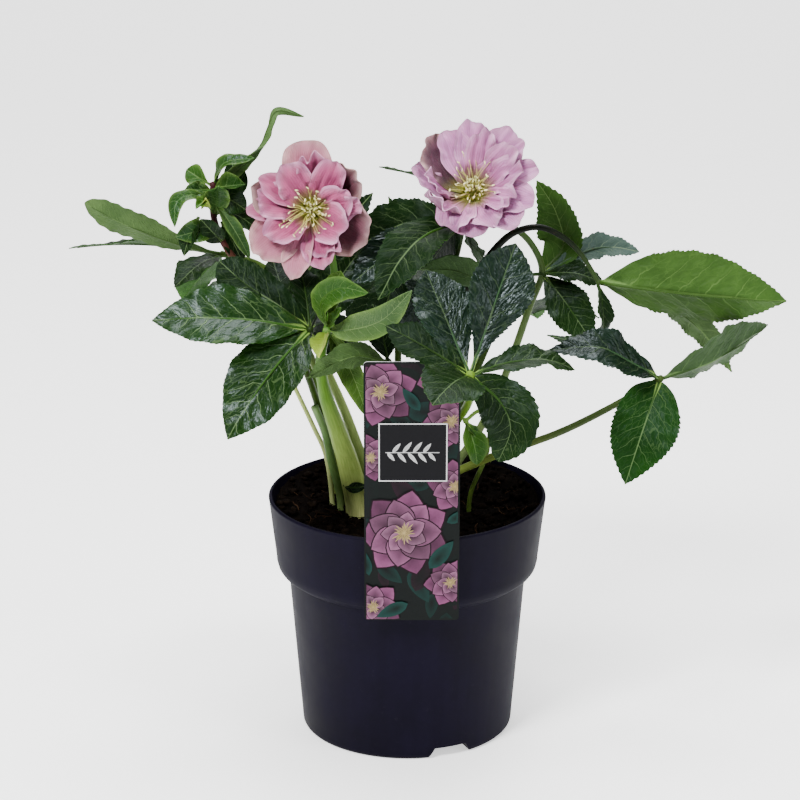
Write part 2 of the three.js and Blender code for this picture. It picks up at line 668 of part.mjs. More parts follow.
// Each bloom: the middle of its petals' foot, the way it faces, and its petals from the outer ones
// in, as [angle around the bloom, pitch above its plane, length, width, bow, roll], with how blunt
// the tip is where that isn't the usual amount.
const BLOOMS = {
  bloom_left: {
    centre: [-49, -24, 295],
    faces: [-0.1, -0.95, 0.28],
    petals: [
      [97, 18, 34, 27, 2, 8], [42, 24, 31, 24, -3, 10], [-26, 14, 32, 29, -2, 10, 0.75],
      [-103, 16, 36, 17, 2, 12, 0.8], [-140, 17, 36, 26, -2, 10], [-177, 18, 32, 12, 2, 8],
      [162, 20, 31, 24, -2, 12], [-75, 22, 31, 18, 2, 10], [126, 33, 27, 20, 3, 12],
      [84, 32, 30, 18, -3, 10], [61, 30, 29, 15, 2, 12], [22, 36, 25, 15, 3, 25], [-31, 36, 25, 18, 3, 10],
      [-66, 32, 27, 17, -3, 12], [-139, 32, 27, 20, 3, 10], [171, 30, 29, 17, 3, 12],
    ],
  },
  bloom_right: {
    centre: [34, -9, 299],
    faces: [-0.03, -0.62, 0.78],
    petals: [
      [92, 32, 38, 17, 2, 8], [57, 31, 37, 19, 2, 10], [38, 32, 36, 12, 2, 10, 0.8],
      [16, 24, 35, 15, 2, 12, 0.8], [-19, 17, 33, 20, 2, 10, 0.75], [-43, 14, 32, 20, -2, 10, 0.6],
      [167, 25, 33, 21, -2, 12], [137, 31, 36, 26, -3, 10], [119, 36, 35, 17, 2, 10],
      [177, 40, 26, 16, -4, 10], [-60, 26, 25, 17, -3, 10], [-31, 32, 27, 16, 2, 12],
      [12, 36, 29, 18, 3, 10], [36, 42, 31, 17, 3, 12], [78, 44, 33, 16, 3, 10], [-150, 12, 26, 18, -3, 15],
    ],
  },
};

// ---------------------------------------------------------------- building leaves and stems

// A blade that grows from a node: it starts a little away from the node's middle.
function grow(node, spec) {
  const from = vec(spec.from ?? node);
  const next = vec(spec.via?.[0] ?? spec.to);
  from.addScaledVector(next.sub(from).normalize(), ROOT_OFFSET);
  return blade({ ...spec, from: from.toArray() });
}

function leafSolid({ petiole, radii, leaflets }) {
  const hub = petiole[petiole.length - 1];
  const blades = leaflets.map((leaflet) => grow(hub, leaflet));
  return fuse([stalk(petiole, radii), knuckle(hub, radii.at(-1) + 0.5), ...blades]);
}

// A stem's whole route: one that carries a bloom ends just behind the bloom's foot.
function routeOf({ route, bloom }) {
  if (!bloom) return route;
  const frame = bloomFrame(BLOOMS[bloom]);
  const end = -CUP.depth - CLEAR;
  return [...route, frame.at(0, 0, end - CUP.approach).toArray(), frame.at(0, 0, end).toArray()];
}

function stemSolid(stem) {
  const { radii, node, bracts = [] } = stem;
  const parts = [stalk(routeOf(stem), radii), ...bracts.map((bract) => grow(node, bract))];
  return fuse(node ? [...parts, knuckle(node, radii.at(-1) + 0.8)] : parts);
}

// The hole that a stalk stands in: the same stalk, a little thicker and deeper.
function holeFor(points, radii) {
  return stalk(points, radii.map((radius) => radius + HOLE_GAP), HOLE_GAP);
}

// ---------------------------------------------------------------- building blooms

// The frame of a bloom: its axis, and the directions right and up in its plane as one looks into it.
function bloomFrame({ centre, faces }) {
  const axis = vec(faces).normalize();
  const up = new THREE.Vector3(0, 0, 1).addScaledVector(axis, -axis.z).normalize();
  const right = up.clone().cross(axis);
  const middle = vec(centre);
  // The point at an angle and a radius around the axis, and a height along it.
  const at = (angle, radius, height) =>
    middle
      .clone()
      .addScaledVector(right, radius * Math.cos(angle))
      .addScaledVector(up, radius * Math.sin(angle))
      .addScaledVector(axis, height);
  const turn = new THREE.Quaternion().setFromUnitVectors(new THREE.Vector3(0, 1, 0), axis);
  // Moves a shape made around the Y axis onto the bloom's axis.
  const place = (geometry) => geometry.applyQuaternion(turn).translate(...middle.toArray());
  return { at, axis, place };
}

function petal(frame, [angleDeg, pitchDeg, length, width, bow, roll, blunt = 0.5]) {
  const angle = radians(angleDeg);
  const pitch = radians(pitchDeg);
  const from = frame.at(angle, CUP.front * 0.55, -0.6);
  const reach = CUP.front * 0.55 + length * Math.cos(pitch);
  const to = frame.at(angle, reach, -0.6 + length * Math.sin(pitch));
  const along = to.clone().sub(from).normalize();
  const face = frame.axis.clone().applyAxisAngle(along, radians(roll));
  return blade({
    from: from.toArray(),
    to: to.toArray(),
    face: face.toArray(),
    width,
    bow,
    widest: 0.63,
    blunt,
    root: 1.6,
    cup: 0.22,
    wave: 1.3,
    phase: angle * 3,
    rows: 4,
    thick: PETAL_THICK,
  });
}

function petalsSolid(bloom) {
  const frame = bloomFrame(bloom);
  const cup = new THREE.CylinderGeometry(CUP.front, CUP.back, CUP.depth, CUP.sides);
  const base = solidOf(frame.place(cup.translate(0, -CUP.depth / 2, 0)));
  return fuse([base, ...bloom.petals.map((p) => petal(frame, p))]);
}

// A filament or a carpel: a thin stalk through the points, whose radius changes along it.
function thread(points, radii, sides) {
  const curve = new THREE.CatmullRomCurve3(points, false, "centripetal");
  const places = radii.map((_, i) => i / (radii.length - 1));
  return loft(stalkRings(curve, places, radii, sides));
}

// Filaments that end in anthers spread from a disc, round a small bunch of carpels.
function stamensSolid(bloom) {
  const { count, sides, filament, anther, disc, discDepth, seed } = STAMENS;
  const frame = bloomFrame(bloom);
  const random = seeded(seed);
  const core = new THREE.CylinderGeometry(disc * 0.9, disc, discDepth, 8);
  const parts = [solidOf(frame.place(core.translate(0, discDepth / 2 + CLEAR, 0)))];
  for (let k = 0; k < count; k++) {
    const angle = k * Math.PI * (3 - Math.sqrt(5));
    const pitch = radians(82 - (22 * k) / count);
    const length = 11 + 5 * random();
    const inner = disc * 0.85;
    const root = discDepth * (k % 2 ? 0.45 : 0.75);
    const points = [
      frame.at(angle, inner, root),
      frame.at(angle, inner + 0.4 * length * Math.cos(pitch), root + 0.6 * length * Math.sin(pitch)),
      frame.at(angle, inner + length * Math.cos(pitch), root + length * Math.sin(pitch)),
    ];
    parts.push(thread(points, [filament, filament, anther, filament], sides));
  }
  for (let k = 0; k < CARPELS.count; k++) {
    const angle = (2 * Math.PI * (k + 0.5)) / CARPELS.count;
    const foot = discDepth * 0.7;
    const points = [frame.at(angle, 0.9, foot), frame.at(angle, 1.6, foot + CARPELS.length)];
    parts.push(thread(points, [CARPELS.radius, CARPELS.radius * 0.4], sides + 1));
  }
  return fuse(parts);
}

// ---------------------------------------------------------------- the object

const group = new THREE.Group();
const add = (name, solid, material) => group.add(meshOf(name, solid, material));

const holes = [
  ...Object.values(LEAVES).map(({ petiole, radii }) => holeFor(petiole, radii)),
  ...Object.values(STEMS).map((stem) => holeFor(routeOf(stem), stem.radii)),
  makeStake(HOLE_GAP),
];
add("pot", makePot(), MATERIALS.pot);
add("soil", makeSoil(holes), MATERIALS.soil);
add("plant_label", makeLabel(), MATERIALS.label);
for (const [name, leaf] of Object.entries(LEAVES)) add(name, leafSolid(leaf), MATERIALS.leaf);
for (const [name, stem] of Object.entries(STEMS)) add(name, stemSolid(stem), MATERIALS.youngLeaf);
for (const [name, bloom] of Object.entries(BLOOMS)) {
  add(`${name}_petals`, petalsSolid(bloom), MATERIALS.petal);
  add(`${name}_stamens`, stamensSolid(bloom), MATERIALS.stamen);
}

export default group;
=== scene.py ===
"""The looks of a double-flowered hellebore in a nursery pot. Its tables are in millimetres and degrees."""

import math
import random
from functools import partial

import bpy
import numpy as np
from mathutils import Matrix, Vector, noise


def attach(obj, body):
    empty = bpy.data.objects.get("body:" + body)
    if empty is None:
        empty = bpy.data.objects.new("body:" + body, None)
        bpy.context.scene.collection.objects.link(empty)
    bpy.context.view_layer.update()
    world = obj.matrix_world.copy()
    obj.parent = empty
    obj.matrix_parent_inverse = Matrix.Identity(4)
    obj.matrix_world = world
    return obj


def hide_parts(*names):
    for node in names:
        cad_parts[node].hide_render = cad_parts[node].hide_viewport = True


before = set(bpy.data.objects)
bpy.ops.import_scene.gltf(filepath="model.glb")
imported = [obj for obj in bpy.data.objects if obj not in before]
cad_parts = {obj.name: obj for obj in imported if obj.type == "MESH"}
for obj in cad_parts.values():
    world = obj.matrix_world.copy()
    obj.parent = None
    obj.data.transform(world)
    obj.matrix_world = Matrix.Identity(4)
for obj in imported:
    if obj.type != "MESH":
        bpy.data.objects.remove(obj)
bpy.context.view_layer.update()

MM = 0.001

# ---------------- colours


def rgb(code):
    """A colour such as "d98ca0" as linear values."""
    parts = np.array([int(code[i : i + 2], 16) for i in (0, 2, 4)]) / 255
    return np.where(parts <= 0.04045, parts / 12.92, ((parts + 0.055) / 1.055) ** 2.4)


def rgbs(codes):
    return [rgb(code) for code in codes.split()]


def blend(a, b, share):
    share = np.clip(np.asarray(share, float), 0, 1)[..., None]
    return np.asarray(a) * (1 - share) + np.asarray(b) * share


# Leaf looks: the upper side's colour, the underside's, and how dull the upper side is, 0 to 1.
LOOKS = {
    "deep": ("071704", "152a0c", 0.6),
    "dark": ("071a02", "233e17", 0.4),
    "green": ("092002", "2b4f18", 0.15),
    "net": ("0a2804", "233e17", 0.5),
    "grass": ("061802", "2e5216", 0.7),
    "blue": ("07150c", "2c4732", 0.0),
    # slate sheen: a matte grey-blue upper side, painted sheen standing for the reflection on a glossy leaf.
    "slate": ("33413c", "3c4f43", 0.9),
    "sage under": ("10280c", "3a5029", 0.6),
    "pale under": ("1a3212", "2c4223", 0.6),
    "lime under": ("123208", "304c19", 0.5),
    "olive under": ("162e0f", "2e4f20", 0.6),
    "meadow": ("0d2804", "2a4020", 0.5),
    "moss": ("2c4618", "384c26", 0.6),
    "bright": ("22430a", "38591c", 0.35),
    "olive": ("2c4413", "4e6d2c", 0.5),
    "fresh": ("113006", "2c4f1c", 0.2),
    "light": ("344a28", "54704a", 0.35),
    "grey": ("21391b", "425a31", 0.6),
    "pale": ("7f9530", "929f4a", 0.5),
}
FRESH = ("bright", "olive", "fresh", "light", "grey", "pale")  # young looks with a pale rim
PETIOLE, FRESH_RIM = rgbs("203408 66823a")
POT_PLUM, POT_SHEEN = rgbs("070510 0b0816")
COMPOST, CRUMB, FIBRE = rgbs("050302 0e0906 2e2015")
PETAL_FOOT, PETAL_PINK, PETAL_LILAC, PETAL_PALE = rgbs("7c801c a44a72 b278a6 dab0cc")
# The deep rose and the maroon are partly the petals' own colour and partly painted shade, deep in the bloom
# and on the inner faces of upright outer petals.
PETAL_CREAM, PETAL_MAROON_AND_SHADE, PETAL_ROSE_AND_SHADE, PETAL_GREEN = rgbs("caaaa4 3a0f1c 8a2c5a 76743a")
ANTHER, ANTHER_GREEN, FILAMENT, FILAMENT_PINK = rgbs("e2d7a0 969c48 a6a44a bd8e86")
CARPEL, STYLE, STIGMA, NECTARY = rgbs("6a731f 77813a 5a3a36 7f8026")
CARD_BACK, CARD_PANEL, CARD_FRAME, CARD_STAMEN = rgbs("030505 050508 b4b4b4 8a7850")
CARD_TEAL, CARD_LEAF, CARD_PINK, CARD_ROSE = rgbs("0a2a26 020a07 663856 1a0512")
CARD_PALE, CARD_BLUSH = CARD_FRAME * 0.8, [0.32, 0.2, 0.26]

# ---------------- curves
# Along a blade or a petal t goes from 0 to 1, and across it s goes from -1 to 1.


def unit(v):
    v = np.asarray(v, float)
    return v / np.maximum(np.linalg.norm(v, axis=-1, keepdims=True), 1e-12)


def stack(*parts):
    """Arrays of matching shapes as the last axis of one."""
    return np.stack(np.broadcast_arrays(*parts), -1)


def circle(count):
    return np.linspace(0, 2 * np.pi, count, endpoint=False)


def sine_steps(count):
    """Steps from -1 to 1 that are closer at both ends."""
    return np.sin(np.linspace(-np.pi / 2, np.pi / 2, count))


def distance_along(places):
    return np.concatenate([[0], np.cumsum(np.linalg.norm(np.diff(places, axis=0), axis=1))])


def catmull(points, t):
    """A centripetal Catmull-Rom curve through the points: its places and directions at t, 0 to 1."""
    p = np.array(points, float)
    p = np.vstack([2 * p[0] - p[1], p, 2 * p[-1] - p[-2]])
    u = np.clip(t, 0, 1) * (len(p) - 3)
    i = np.minimum(u.astype(int), len(p) - 4)
    w = (u - i)[:, None]
    p0, p1, p2, p3 = (p[i + k] for k in range(4))
    steps = ((p0, p1), (p1, p2), (p2, p3))
    d0, d1, d2 = (np.maximum(np.sum((b - a) ** 2, 1) ** 0.25, 1e-4)[:, None] for a, b in steps)
    t1 = ((p1 - p0) / d0 - (p2 - p0) / (d0 + d1) + (p2 - p1) / d1) * d1
    t2 = ((p2 - p1) / d1 - (p3 - p1) / (d1 + d2) + (p3 - p2) / d2) * d1
    c2, c3 = -3 * p1 + 3 * p2 - 2 * t1 - t2, 2 * p1 - 2 * p2 + t1 + t2
    return p1 + t1 * w + c2 * w**2 + c3 * w**3, unit(t1 + 2 * c2 * w + 3 * c3 * w**2)


def spine(base, tip, face, t, via=(), bow=0, twist=0):
    """A blade's line at t with its sideways direction and its upper side's."""
    base, tip, face = (np.array(v, float) for v in (base, tip, face))
    along = unit(tip - base)
    up = unit(face - along * (face @ along))
    if via:
        place, tangent = catmull([base, *via, tip], t)
    else:
        middle = (base + tip) / 2 + 2 * bow * up
        a, b = (1 - t)[:, None], t[:, None]
        place = a * a * base + 2 * a * b * middle + b * b * tip
        tangent = unit(a * (middle - base) + b * (tip - middle))
    side = unit(np.cross(tangent, up))
    turn = (math.radians(twist) * t)[:, None]
    side = side * np.cos(turn) + np.cross(tangent, side) * np.sin(turn)
    return place, side, unit(np.cross(side, tangent))


def outline(t, widest, taper):
    """How wide a blade is at t, as a share of its greatest width. More taper gives a more pointed tip."""
    rise = taper * widest / (1 - widest)
    return t**rise * (1 - t) ** taper / (widest**rise * (1 - widest) ** taper)


def rough(points, size, seed):
    """Smooth noise, about -1 to 1, at each point; size is its wavelength."""
    shift = Vector((seed * 7.1, seed * 3.7, seed * 5.3))
    found = np.array([noise.noise(Vector(p) + shift) for p in points.reshape(-1, 3) / size])
    return found.reshape(points.shape[:-1])


# ---------------- meshes


def new_object(name, points, faces):
    mesh = bpy.data.meshes.new(name)
    mesh.from_pydata((np.asarray(points) * MM).tolist(), [], faces)
    return bpy.data.objects.new(name, mesh)


def link(item):
    bpy.context.scene.collection.objects.link(item)


def show(piece, node, slot):
    link(piece)
    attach(piece, "root")
    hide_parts(node)


class Body:
    """The parts of one piece, with a base colour, its dullness and pattern coordinates at every vertex."""

    def __init__(self):
        self.parts, self.count, self.dull = [], 0, 0.0

    def add(self, points, faces, colour, grain, skin):
        n = len(points)
        colours, grains = (np.broadcast_to(v, (n, 3)) for v in (colour, grain))
        colours = np.hstack([colours, np.full((n, 1), self.dull)])
        corners, skins = np.asarray(faces) + self.count, np.full(len(faces), skin)
        self.parts.append((points, corners, colours, grains, skins))
        self.count += n

    def grid(self, points, colour, grain, skin, flip=False, around=False):
        """A sheet of rows of points. around joins the last column to the first."""
        rows, cols = points.shape[:2]
        at = np.arange(rows * cols).reshape(rows, cols)
        if around:
            at = np.hstack([at, at[:, :1]])
        corners = [at[:-1, :-1], at[:-1, 1:], at[1:, 1:], at[1:, :-1]]
        faces = np.stack([c.ravel() for c in (corners[::-1] if flip else corners)], 1)
        wide = [np.broadcast_to(v, points.shape).reshape(-1, 3) for v in (colour, grain)]
        self.add(points.reshape(-1, 3), faces, *wide, skin)

    def rims(self, top, low, colour, grain, skin, ends):
        """Strips that join two sheets at their first and last column, and at the rows that ends names."""
        for edge, flip in ((np.s_[:, 0], False), (np.s_[:, -1], True), *((end, end == 0) for end in ends)):
            strip = np.stack([top[edge], low[edge]], 1)
            self.grid(strip, colour[edge][:, None], grain[edge][:, None], skin, flip=flip)

    def build(self, name, skins, node, slot, sharp=None):
        points, faces, colours, grains, picks = zip(*self.parts)
        piece = new_object(name, np.vstack(points), [face for part in faces for face in part.tolist()])
        mesh = piece.data
        for skin in skins:
            mesh.materials.append(skin)
        mesh.polygons.foreach_set("material_index", np.concatenate(picks).astype(np.int32))
        mesh.shade_smooth()
        base = mesh.attributes.new("base", "FLOAT_COLOR", "POINT").data
        base.foreach_set("color", np.vstack(colours).astype(np.float32).ravel())
        grain = mesh.attributes.new("grain", "FLOAT_VECTOR", "POINT").data
        grain.foreach_set("vector", np.vstack(grains).astype(np.float32).ravel())
        if sharp:
            mesh.set_sharp_from_angle(angle=math.radians(sharp))
        show(piece, node, slot)


def tube(body, points, radii, colours, skin=0, sides=12, rings=None, squash=1.0):
    """A stalk, rounded at its far end. radii and colours are given at even steps along it."""
    t = np.linspace(0, 1, (rings or max(6, 5 * len(points))) + 1)
    place, tangent = catmull(points, t)
    radius = np.interp(t, np.linspace(0, 1, len(radii)), radii)
    colours = np.atleast_2d(colours)
    colour = np.stack([np.interp(t, np.linspace(0, 1, len(colours)), tone) for tone in colours.T], 1)
    side = np.cross([0.6, 0.8, 0], tangent[0])
    sideways = []
    for direction in tangent:
        side = unit(side - direction * (side @ direction))
        sideways.append(side)
    sideways = np.array(sideways)
    upward = np.cross(tangent, sideways)
    place = np.vstack([place[:1], place, place[-1:] + tangent[-1:] * radius[-1] * 0.4])
    sideways, upward, colour = (np.vstack([v[:1], v, v[-1:]]) for v in (sideways, upward, colour))
    radius = np.concatenate([[1e-3], radius, [radius[-1] * 0.2]])
    angle = circle(sides)
    cos, sin = np.cos(angle), np.sin(angle)
    shape = sideways[:, None] * cos[:, None] + upward[:, None] * sin[:, None] * squash
    grain = stack(cos, sin, distance_along(place)[:, None])
    body.grid(place[:, None] + shape * radius[:, None, None], colour[:, None], grain, skin, around=True)


def globe(rows, cols):
    """Points on a ball of radius 1."""
    up, turn = np.linspace(-np.pi / 2, np.pi / 2, rows)[:, None], circle(cols)
    return stack(np.cos(up) * np.cos(turn), np.cos(up) * np.sin(turn), np.sin(up))


# ---------------- shaders


class Term:
    """A node's output that can be reckoned with."""

    def __init__(self, shader, socket):
        self.shader, self.socket = shader, socket

    def __add__(self, other):
        return self.shader.math("ADD", self, other)

    def __sub__(self, other):
        return self.shader.math("SUBTRACT", self, other)

    def __rsub__(self, other):
        return self.shader.math("SUBTRACT", other, self)

    def __mul__(self, other):
        return self.shader.math("MULTIPLY", self, other)

    def __truediv__(self, other):
        return self.shader.math("DIVIDE", self, other)


class Shader:
    """A material whose nodes are written as sums of terms."""

    def __init__(self, name):
        self.material = bpy.data.materials.new(name)
        self.material.use_nodes = True
        self.tree = self.material.node_tree

    def put(self, socket, value):
        if isinstance(value, Term):
            self.tree.links.new(value.socket, socket)
        elif hasattr(value, "__len__") and len(value) == 3 and len(socket.default_value) == 4:
            socket.default_value = (*value, 1)
        else:
            socket.default_value = value

    def node(self, kind, inputs, output=0, **settings):
        """The output of a new node, whose inputs are given by name or number."""
        made = self.tree.nodes.new("ShaderNode" + kind)
        for key, value in settings.items():
            setattr(made, key, value)
        for key, value in inputs.items():
            self.put(made.inputs[key], value)
        return Term(self, made.outputs[output])

    def math(self, operation, *values):
        return self.node("Math", dict(enumerate(values)), operation=operation)

    def ramp(self, value, low, high, start=0.0, end=1.0):
        """start below low, end above high, smooth between."""
        inputs = {"Value": value, "From Min": low, "From Max": high, "To Min": start, "To Max": end}
        return self.node("MapRange", inputs, interpolation_type="SMOOTHSTEP")

    def fade(self, value, low, high):
        """1 below low, 0 above high, smooth between."""
        return 1.0 - self.ramp(value, low, high)

    def from_line(self, value):
        """How far a value is from the nearest line; the lines are halfway between whole numbers."""
        return self.math("ABSOLUTE", self.math("FRACT", value) - 0.5)

    def mix(self, share, a, b, mode="MIX"):
        inputs = {0: share, 6: a, 7: b}
        return self.node("Mix", inputs, 2, data_type="RGBA", blend_type=mode, clamp_factor=True)

    def tint(self, colour, factors):
        return self.mix(1.0, colour, factors, "MULTIPLY")

    def clouds(self, value, colour, low, high):
        """The colour with one tint where the value is low and the other where it is high."""
        return self.mix(self.ramp(value, 0.3, 0.7), self.tint(colour, low), self.tint(colour, high))

    def base(self, output="Color"):
        return self.node("Attribute", {}, output, attribute_name="base")

    def grain(self):
        return self.node("Attribute", {}, "Vector", attribute_name="grain")

    def place(self):
        return self.node("TexCoord", {}, "Object")

    def split(self, vector):
        made = self.tree.nodes.new("ShaderNodeSeparateXYZ")
        self.put(made.inputs[0], vector)
        return [Term(self, socket) for socket in made.outputs]

    def vector(self, x, y, z=0.0):
        return self.node("CombineXYZ", {"X": x, "Y": y, "Z": z})

    def noise(self, vector, scale, detail=3, roughness=0.5):
        inputs = {"Vector": vector, "Scale": scale, "Detail": detail, "Roughness": roughness}
        return self.node("TexNoise", inputs)

    def cell_edge(self, vector, scale):
        return self.node("TexVoronoi", {"Vector": vector, "Scale": scale}, feature="DISTANCE_TO_EDGE")

    def bump(self, height, distance, strength=1.0):
        return self.node("Bump", {"Height": height, "Distance": distance, "Strength": strength})

    def surface(self, **values):
        shader = self.tree.nodes["Principled BSDF"]
        for key, value in values.items():
            self.put(shader.inputs[key.replace("_", " ")], value)
        return self.material


VEIN_SLOPE, VEIN_CURL = 0.75, 0.16
NET_SCALE = 2.3  # cells of the leaf net between two side veins


def leaf_shader(name, upper):
    """A leaf's side with midrib, side veins and the net between them."""
    m = Shader(name)
    grain, place = m.grain(), m.place()
    x, along, half = m.split(grain)
    y = along + (m.noise(grain, 1.0) - 0.5) * 0.8
    a = m.math("ABSOLUTE", x)
    phase = y - (a * VEIN_SLOPE + a * a * VEIN_CURL) + m.math("SIGN", x) * 0.25
    share = a / half
    width = m.ramp(share, 0.0, 1.0, 0.045, 0.016)
    vein = m.fade(m.from_line(phase) / width, 0.35, 1.0) * m.ramp(share, 0.6, 0.95, 1.0, 0.25)
    rib_width = m.ramp(along, 0.0, 9.0, 0.08, 0.03) + m.ramp(along, 0.2, 1.6, 0.14, 0.0)
    midrib = m.fade(a / rib_width, 0.5, 1.0)
    shift = (m.noise(grain, 2.5, 2) - 0.5) * 0.5
    skewed = m.vector(x + shift, phase + shift)
    edge, small = m.cell_edge(skewed, NET_SCALE), m.cell_edge(skewed, NET_SCALE * 2.1)
    faint = m.ramp(m.noise(place, 45, 2), 0.4, 0.65, 0.3, 1.0)
    lines = m.math("MAXIMUM", vein, m.fade(edge, 0.012, 0.05) * faint * 0.5)
    lines = m.math("MAXIMUM", lines, m.fade(small, 0.02, 0.08) * 0.08)
    base, dull = m.base(), m.base("Alpha")
    tone = m.clouds(m.noise(place, 60), base, (0.7, 0.76, 0.7), (1.12, 1.1, 1.1))
    dome = m.ramp(edge, 0.0, 0.42) + m.ramp(small, 0.0, 0.4) * 0.22
    cut = vein * 0.7 + m.noise(place, 150, 2) * -0.5
    relief = m.ramp(dull, 0.0, 0.12, 2.0, 1.0)
    if not upper:
        pale = m.mix(0.3, m.tint(base, (1.5, 1.4, 1.5)), (0.2, 0.34, 0.1))
        colour = m.mix(midrib * 0.75, m.mix(lines * 0.42, tone, pale), pale)
        bump = m.bump((dome + cut) * relief, 0.0004, 0.7)
        return m.surface(Base_Color=colour, Roughness=0.55, Specular_IOR_Level=0.08, Normal=bump)
    pale = m.mix(0.5, m.tint(base, (3.4, 2.5, 2.4)), (0.16, 0.24, 0.1))
    pale = m.mix(m.ramp(along, 0.3, 1.8, 0.8, 0.0), pale, (0.15, 0.25, 0.04))
    clear = m.ramp(dull, 0.0, 0.1, 0.3, 0.65) * m.ramp(dull, 0.2, 0.6, 1.0, 0.5)
    rib = midrib * m.math("MAXIMUM", m.ramp(along, 0.3, 1.8, 0.95, 0.0), m.ramp(dull, 0.0, 0.1, 0.36, 0.6))
    return m.surface(
        Base_Color=m.mix(rib, m.mix(lines * clear, tone, pale), pale),
        Roughness=m.ramp(dull, 0.0, 1.0, 0.27, 0.5) + m.noise(place, 110) * 0.06,
        Specular_IOR_Level=m.ramp(dull, 0.0, 0.6, 0.18, 0.045),
        Specular_Tint=(0.8, 0.92, 1.0),
        Normal=m.bump((dome - cut) * relief, 0.00014),
    )


def stalk_shader(name):
    """A smooth stalk with lengthwise streaks and small flecks."""
    m = Shader(name)
    x, y, along = m.split(m.grain())
    lines = m.noise(m.vector(x * 3.0, y * 3.0, along * 0.05), 2.2, 4, 0.6)
    colour = m.clouds(lines, m.base(), (0.76, 0.8, 0.74), (1.12, 1.1, 1.14))
    flecks = m.ramp(m.noise(m.place(), 900, 2), 0.66, 0.74)
    colour = m.mix(flecks * 0.35, colour, (0.09, 0.03, 0.025))
    bump = m.bump(lines, 0.0003, 0.5)
    return m.surface(Base_Color=colour, Roughness=0.42, Specular_IOR_Level=0.08, Normal=bump)


def petal_shader(name):
    """Soft petal skin with fine veins that fan out from the foot."""
    m = Shader(name)
    place = m.place()
    across, _, along = m.split(m.grain())
    fan = across + (m.noise(place, 160, 2) - 0.5) * 0.9
    thin = m.fade(m.from_line(fan * 2.7), 0.05, 0.25) * 0.5
    lines = m.math("MAXIMUM", m.fade(m.from_line(fan), 0.03, 0.2), thin) * m.ramp(along, 0.05, 0.3, 0.15, 1.0)
    base = m.base()
    soft = m.clouds(m.noise(place, 90), base, (0.84, 0.72, 0.82), (1.08, 1.12, 1.08))
    return m.surface(
        Base_Color=m.mix(lines * 0.46, soft, m.tint(base, (0.7, 0.34, 0.5))),
        Roughness=0.58,
        Specular_IOR_Level=0.28,
        Subsurface_Weight=0.12,
        Subsurface_Radius=(0.002, 0.001, 0.001),
        Subsurface_Scale=0.6,
        Sheen_Weight=0.12,
        Sheen_Roughness=0.5,
        Normal=m.bump(m.noise(place, 260) + lines * -0.3, 0.0009, 0.8),
    )


def plain_shader(name, scale, spread, roughness, bump=0.0003, specular=0.4):
    """The base colour with a grain of lighter and darker noise."""
    m = Shader(name)
    grain = m.noise(m.place(), scale, 4, 0.6)
    colour = m.clouds(grain, m.base(), (1 - spread,) * 3, (1 + spread,) * 3)
    normal = m.bump(grain, bump, 0.6)
    return m.surface(Base_Color=colour, Roughness=roughness, Specular_IOR_Level=specular, Normal=normal)


def pot_shader():
    """Moulded plastic: dark plum with faint draw marks and handling scuffs."""
    m = Shader("pot_plastic")
    place = m.place()
    x, y, z = m.split(place)
    draw = m.noise(m.vector(x * 160, y * 160, z * 4), 1.0)
    cloud = m.noise(place, 28, 4, 0.6)
    scuff = m.ramp(m.noise(place, 420, 4, 0.65), 0.62, 0.75)
    colour = m.mix(m.ramp(cloud, 0.3, 0.7), POT_PLUM, POT_SHEEN)
    colour = m.mix(m.ramp(draw, 0.35, 0.7) * 0.3, colour, m.tint(colour, (1.5, 1.5, 1.5)))
    colour = m.mix(scuff * 0.08, colour, (0.06, 0.055, 0.07))
    roughness = m.ramp(cloud, 0.3, 0.7, 0.52, 0.62) + scuff * 0.12
    bump = m.bump(draw, 0.0002, 0.35)
    return m.surface(Base_Color=colour, Roughness=roughness, Specular_IOR_Level=0.04, Normal=bump)


LEAF_SKINS = [leaf_shader("leaf_upper", True), leaf_shader("leaf_under", False), stalk_shader("stalk_skin")]
UPPER, UNDER, STALK = range(3)
PETAL = petal_shader("petal_skin")
STAMEN = plain_shader("stamen_skin", 900, 0.2, 0.6)
SOIL_SKIN = plain_shader("compost_crumb", 500, 0.45, 0.95, 0.0006, 0.02)
CARD = plain_shader("card_print", 260, 0.12, 0.35, 0.0001, 0.08)
POT_SKIN = pot_shader()

# ---------------- pot

# Outer radii: rim, band (lower edge of the rim band), body (where the band steps in) and foot.
POT = {"height": 132, "rim": 75, "wall": 1.6, "lip": 2.2, "band_foot": 98, "band": 71, "shoulder": 87,
       "body": 64.3, "foot": 57.5, "round": 4, "floor": 2}
# The notches in the foot: top is a notch's width at its top, and inner is how near the axis it starts.
NOTCH = {"count": 3, "first": -66, "width": 25, "top": 18, "height": 6, "inner": 26, "past": 5}
POT_SIDES = 160


def lathe(name, profile):
    """A closed body turned round +Z. The profile starts and ends on the axis."""
    n, ring = POT_SIDES, circle(POT_SIDES)
    points = [[0, 0, profile[0][1]]]
    for r, z in profile[1:-1]:
        points += [[r * math.cos(turn), r * math.sin(turn), z] for turn in ring]
    points.append([0, 0, profile[-1][1]])
    sides = [(k, (k + 1) % n) for k in range(n)]
    top, last = len(points) - 1 - n, len(points) - 1
    faces = [[0, 1 + after, 1 + k] for k, after in sides]
    for a in range(1, top, n):
        faces += [[a + k, a + after, a + n + after, a + n + k] for k, after in sides]
    return new_object(name, points, faces + [[top + k, top + after, last] for k, after in sides])


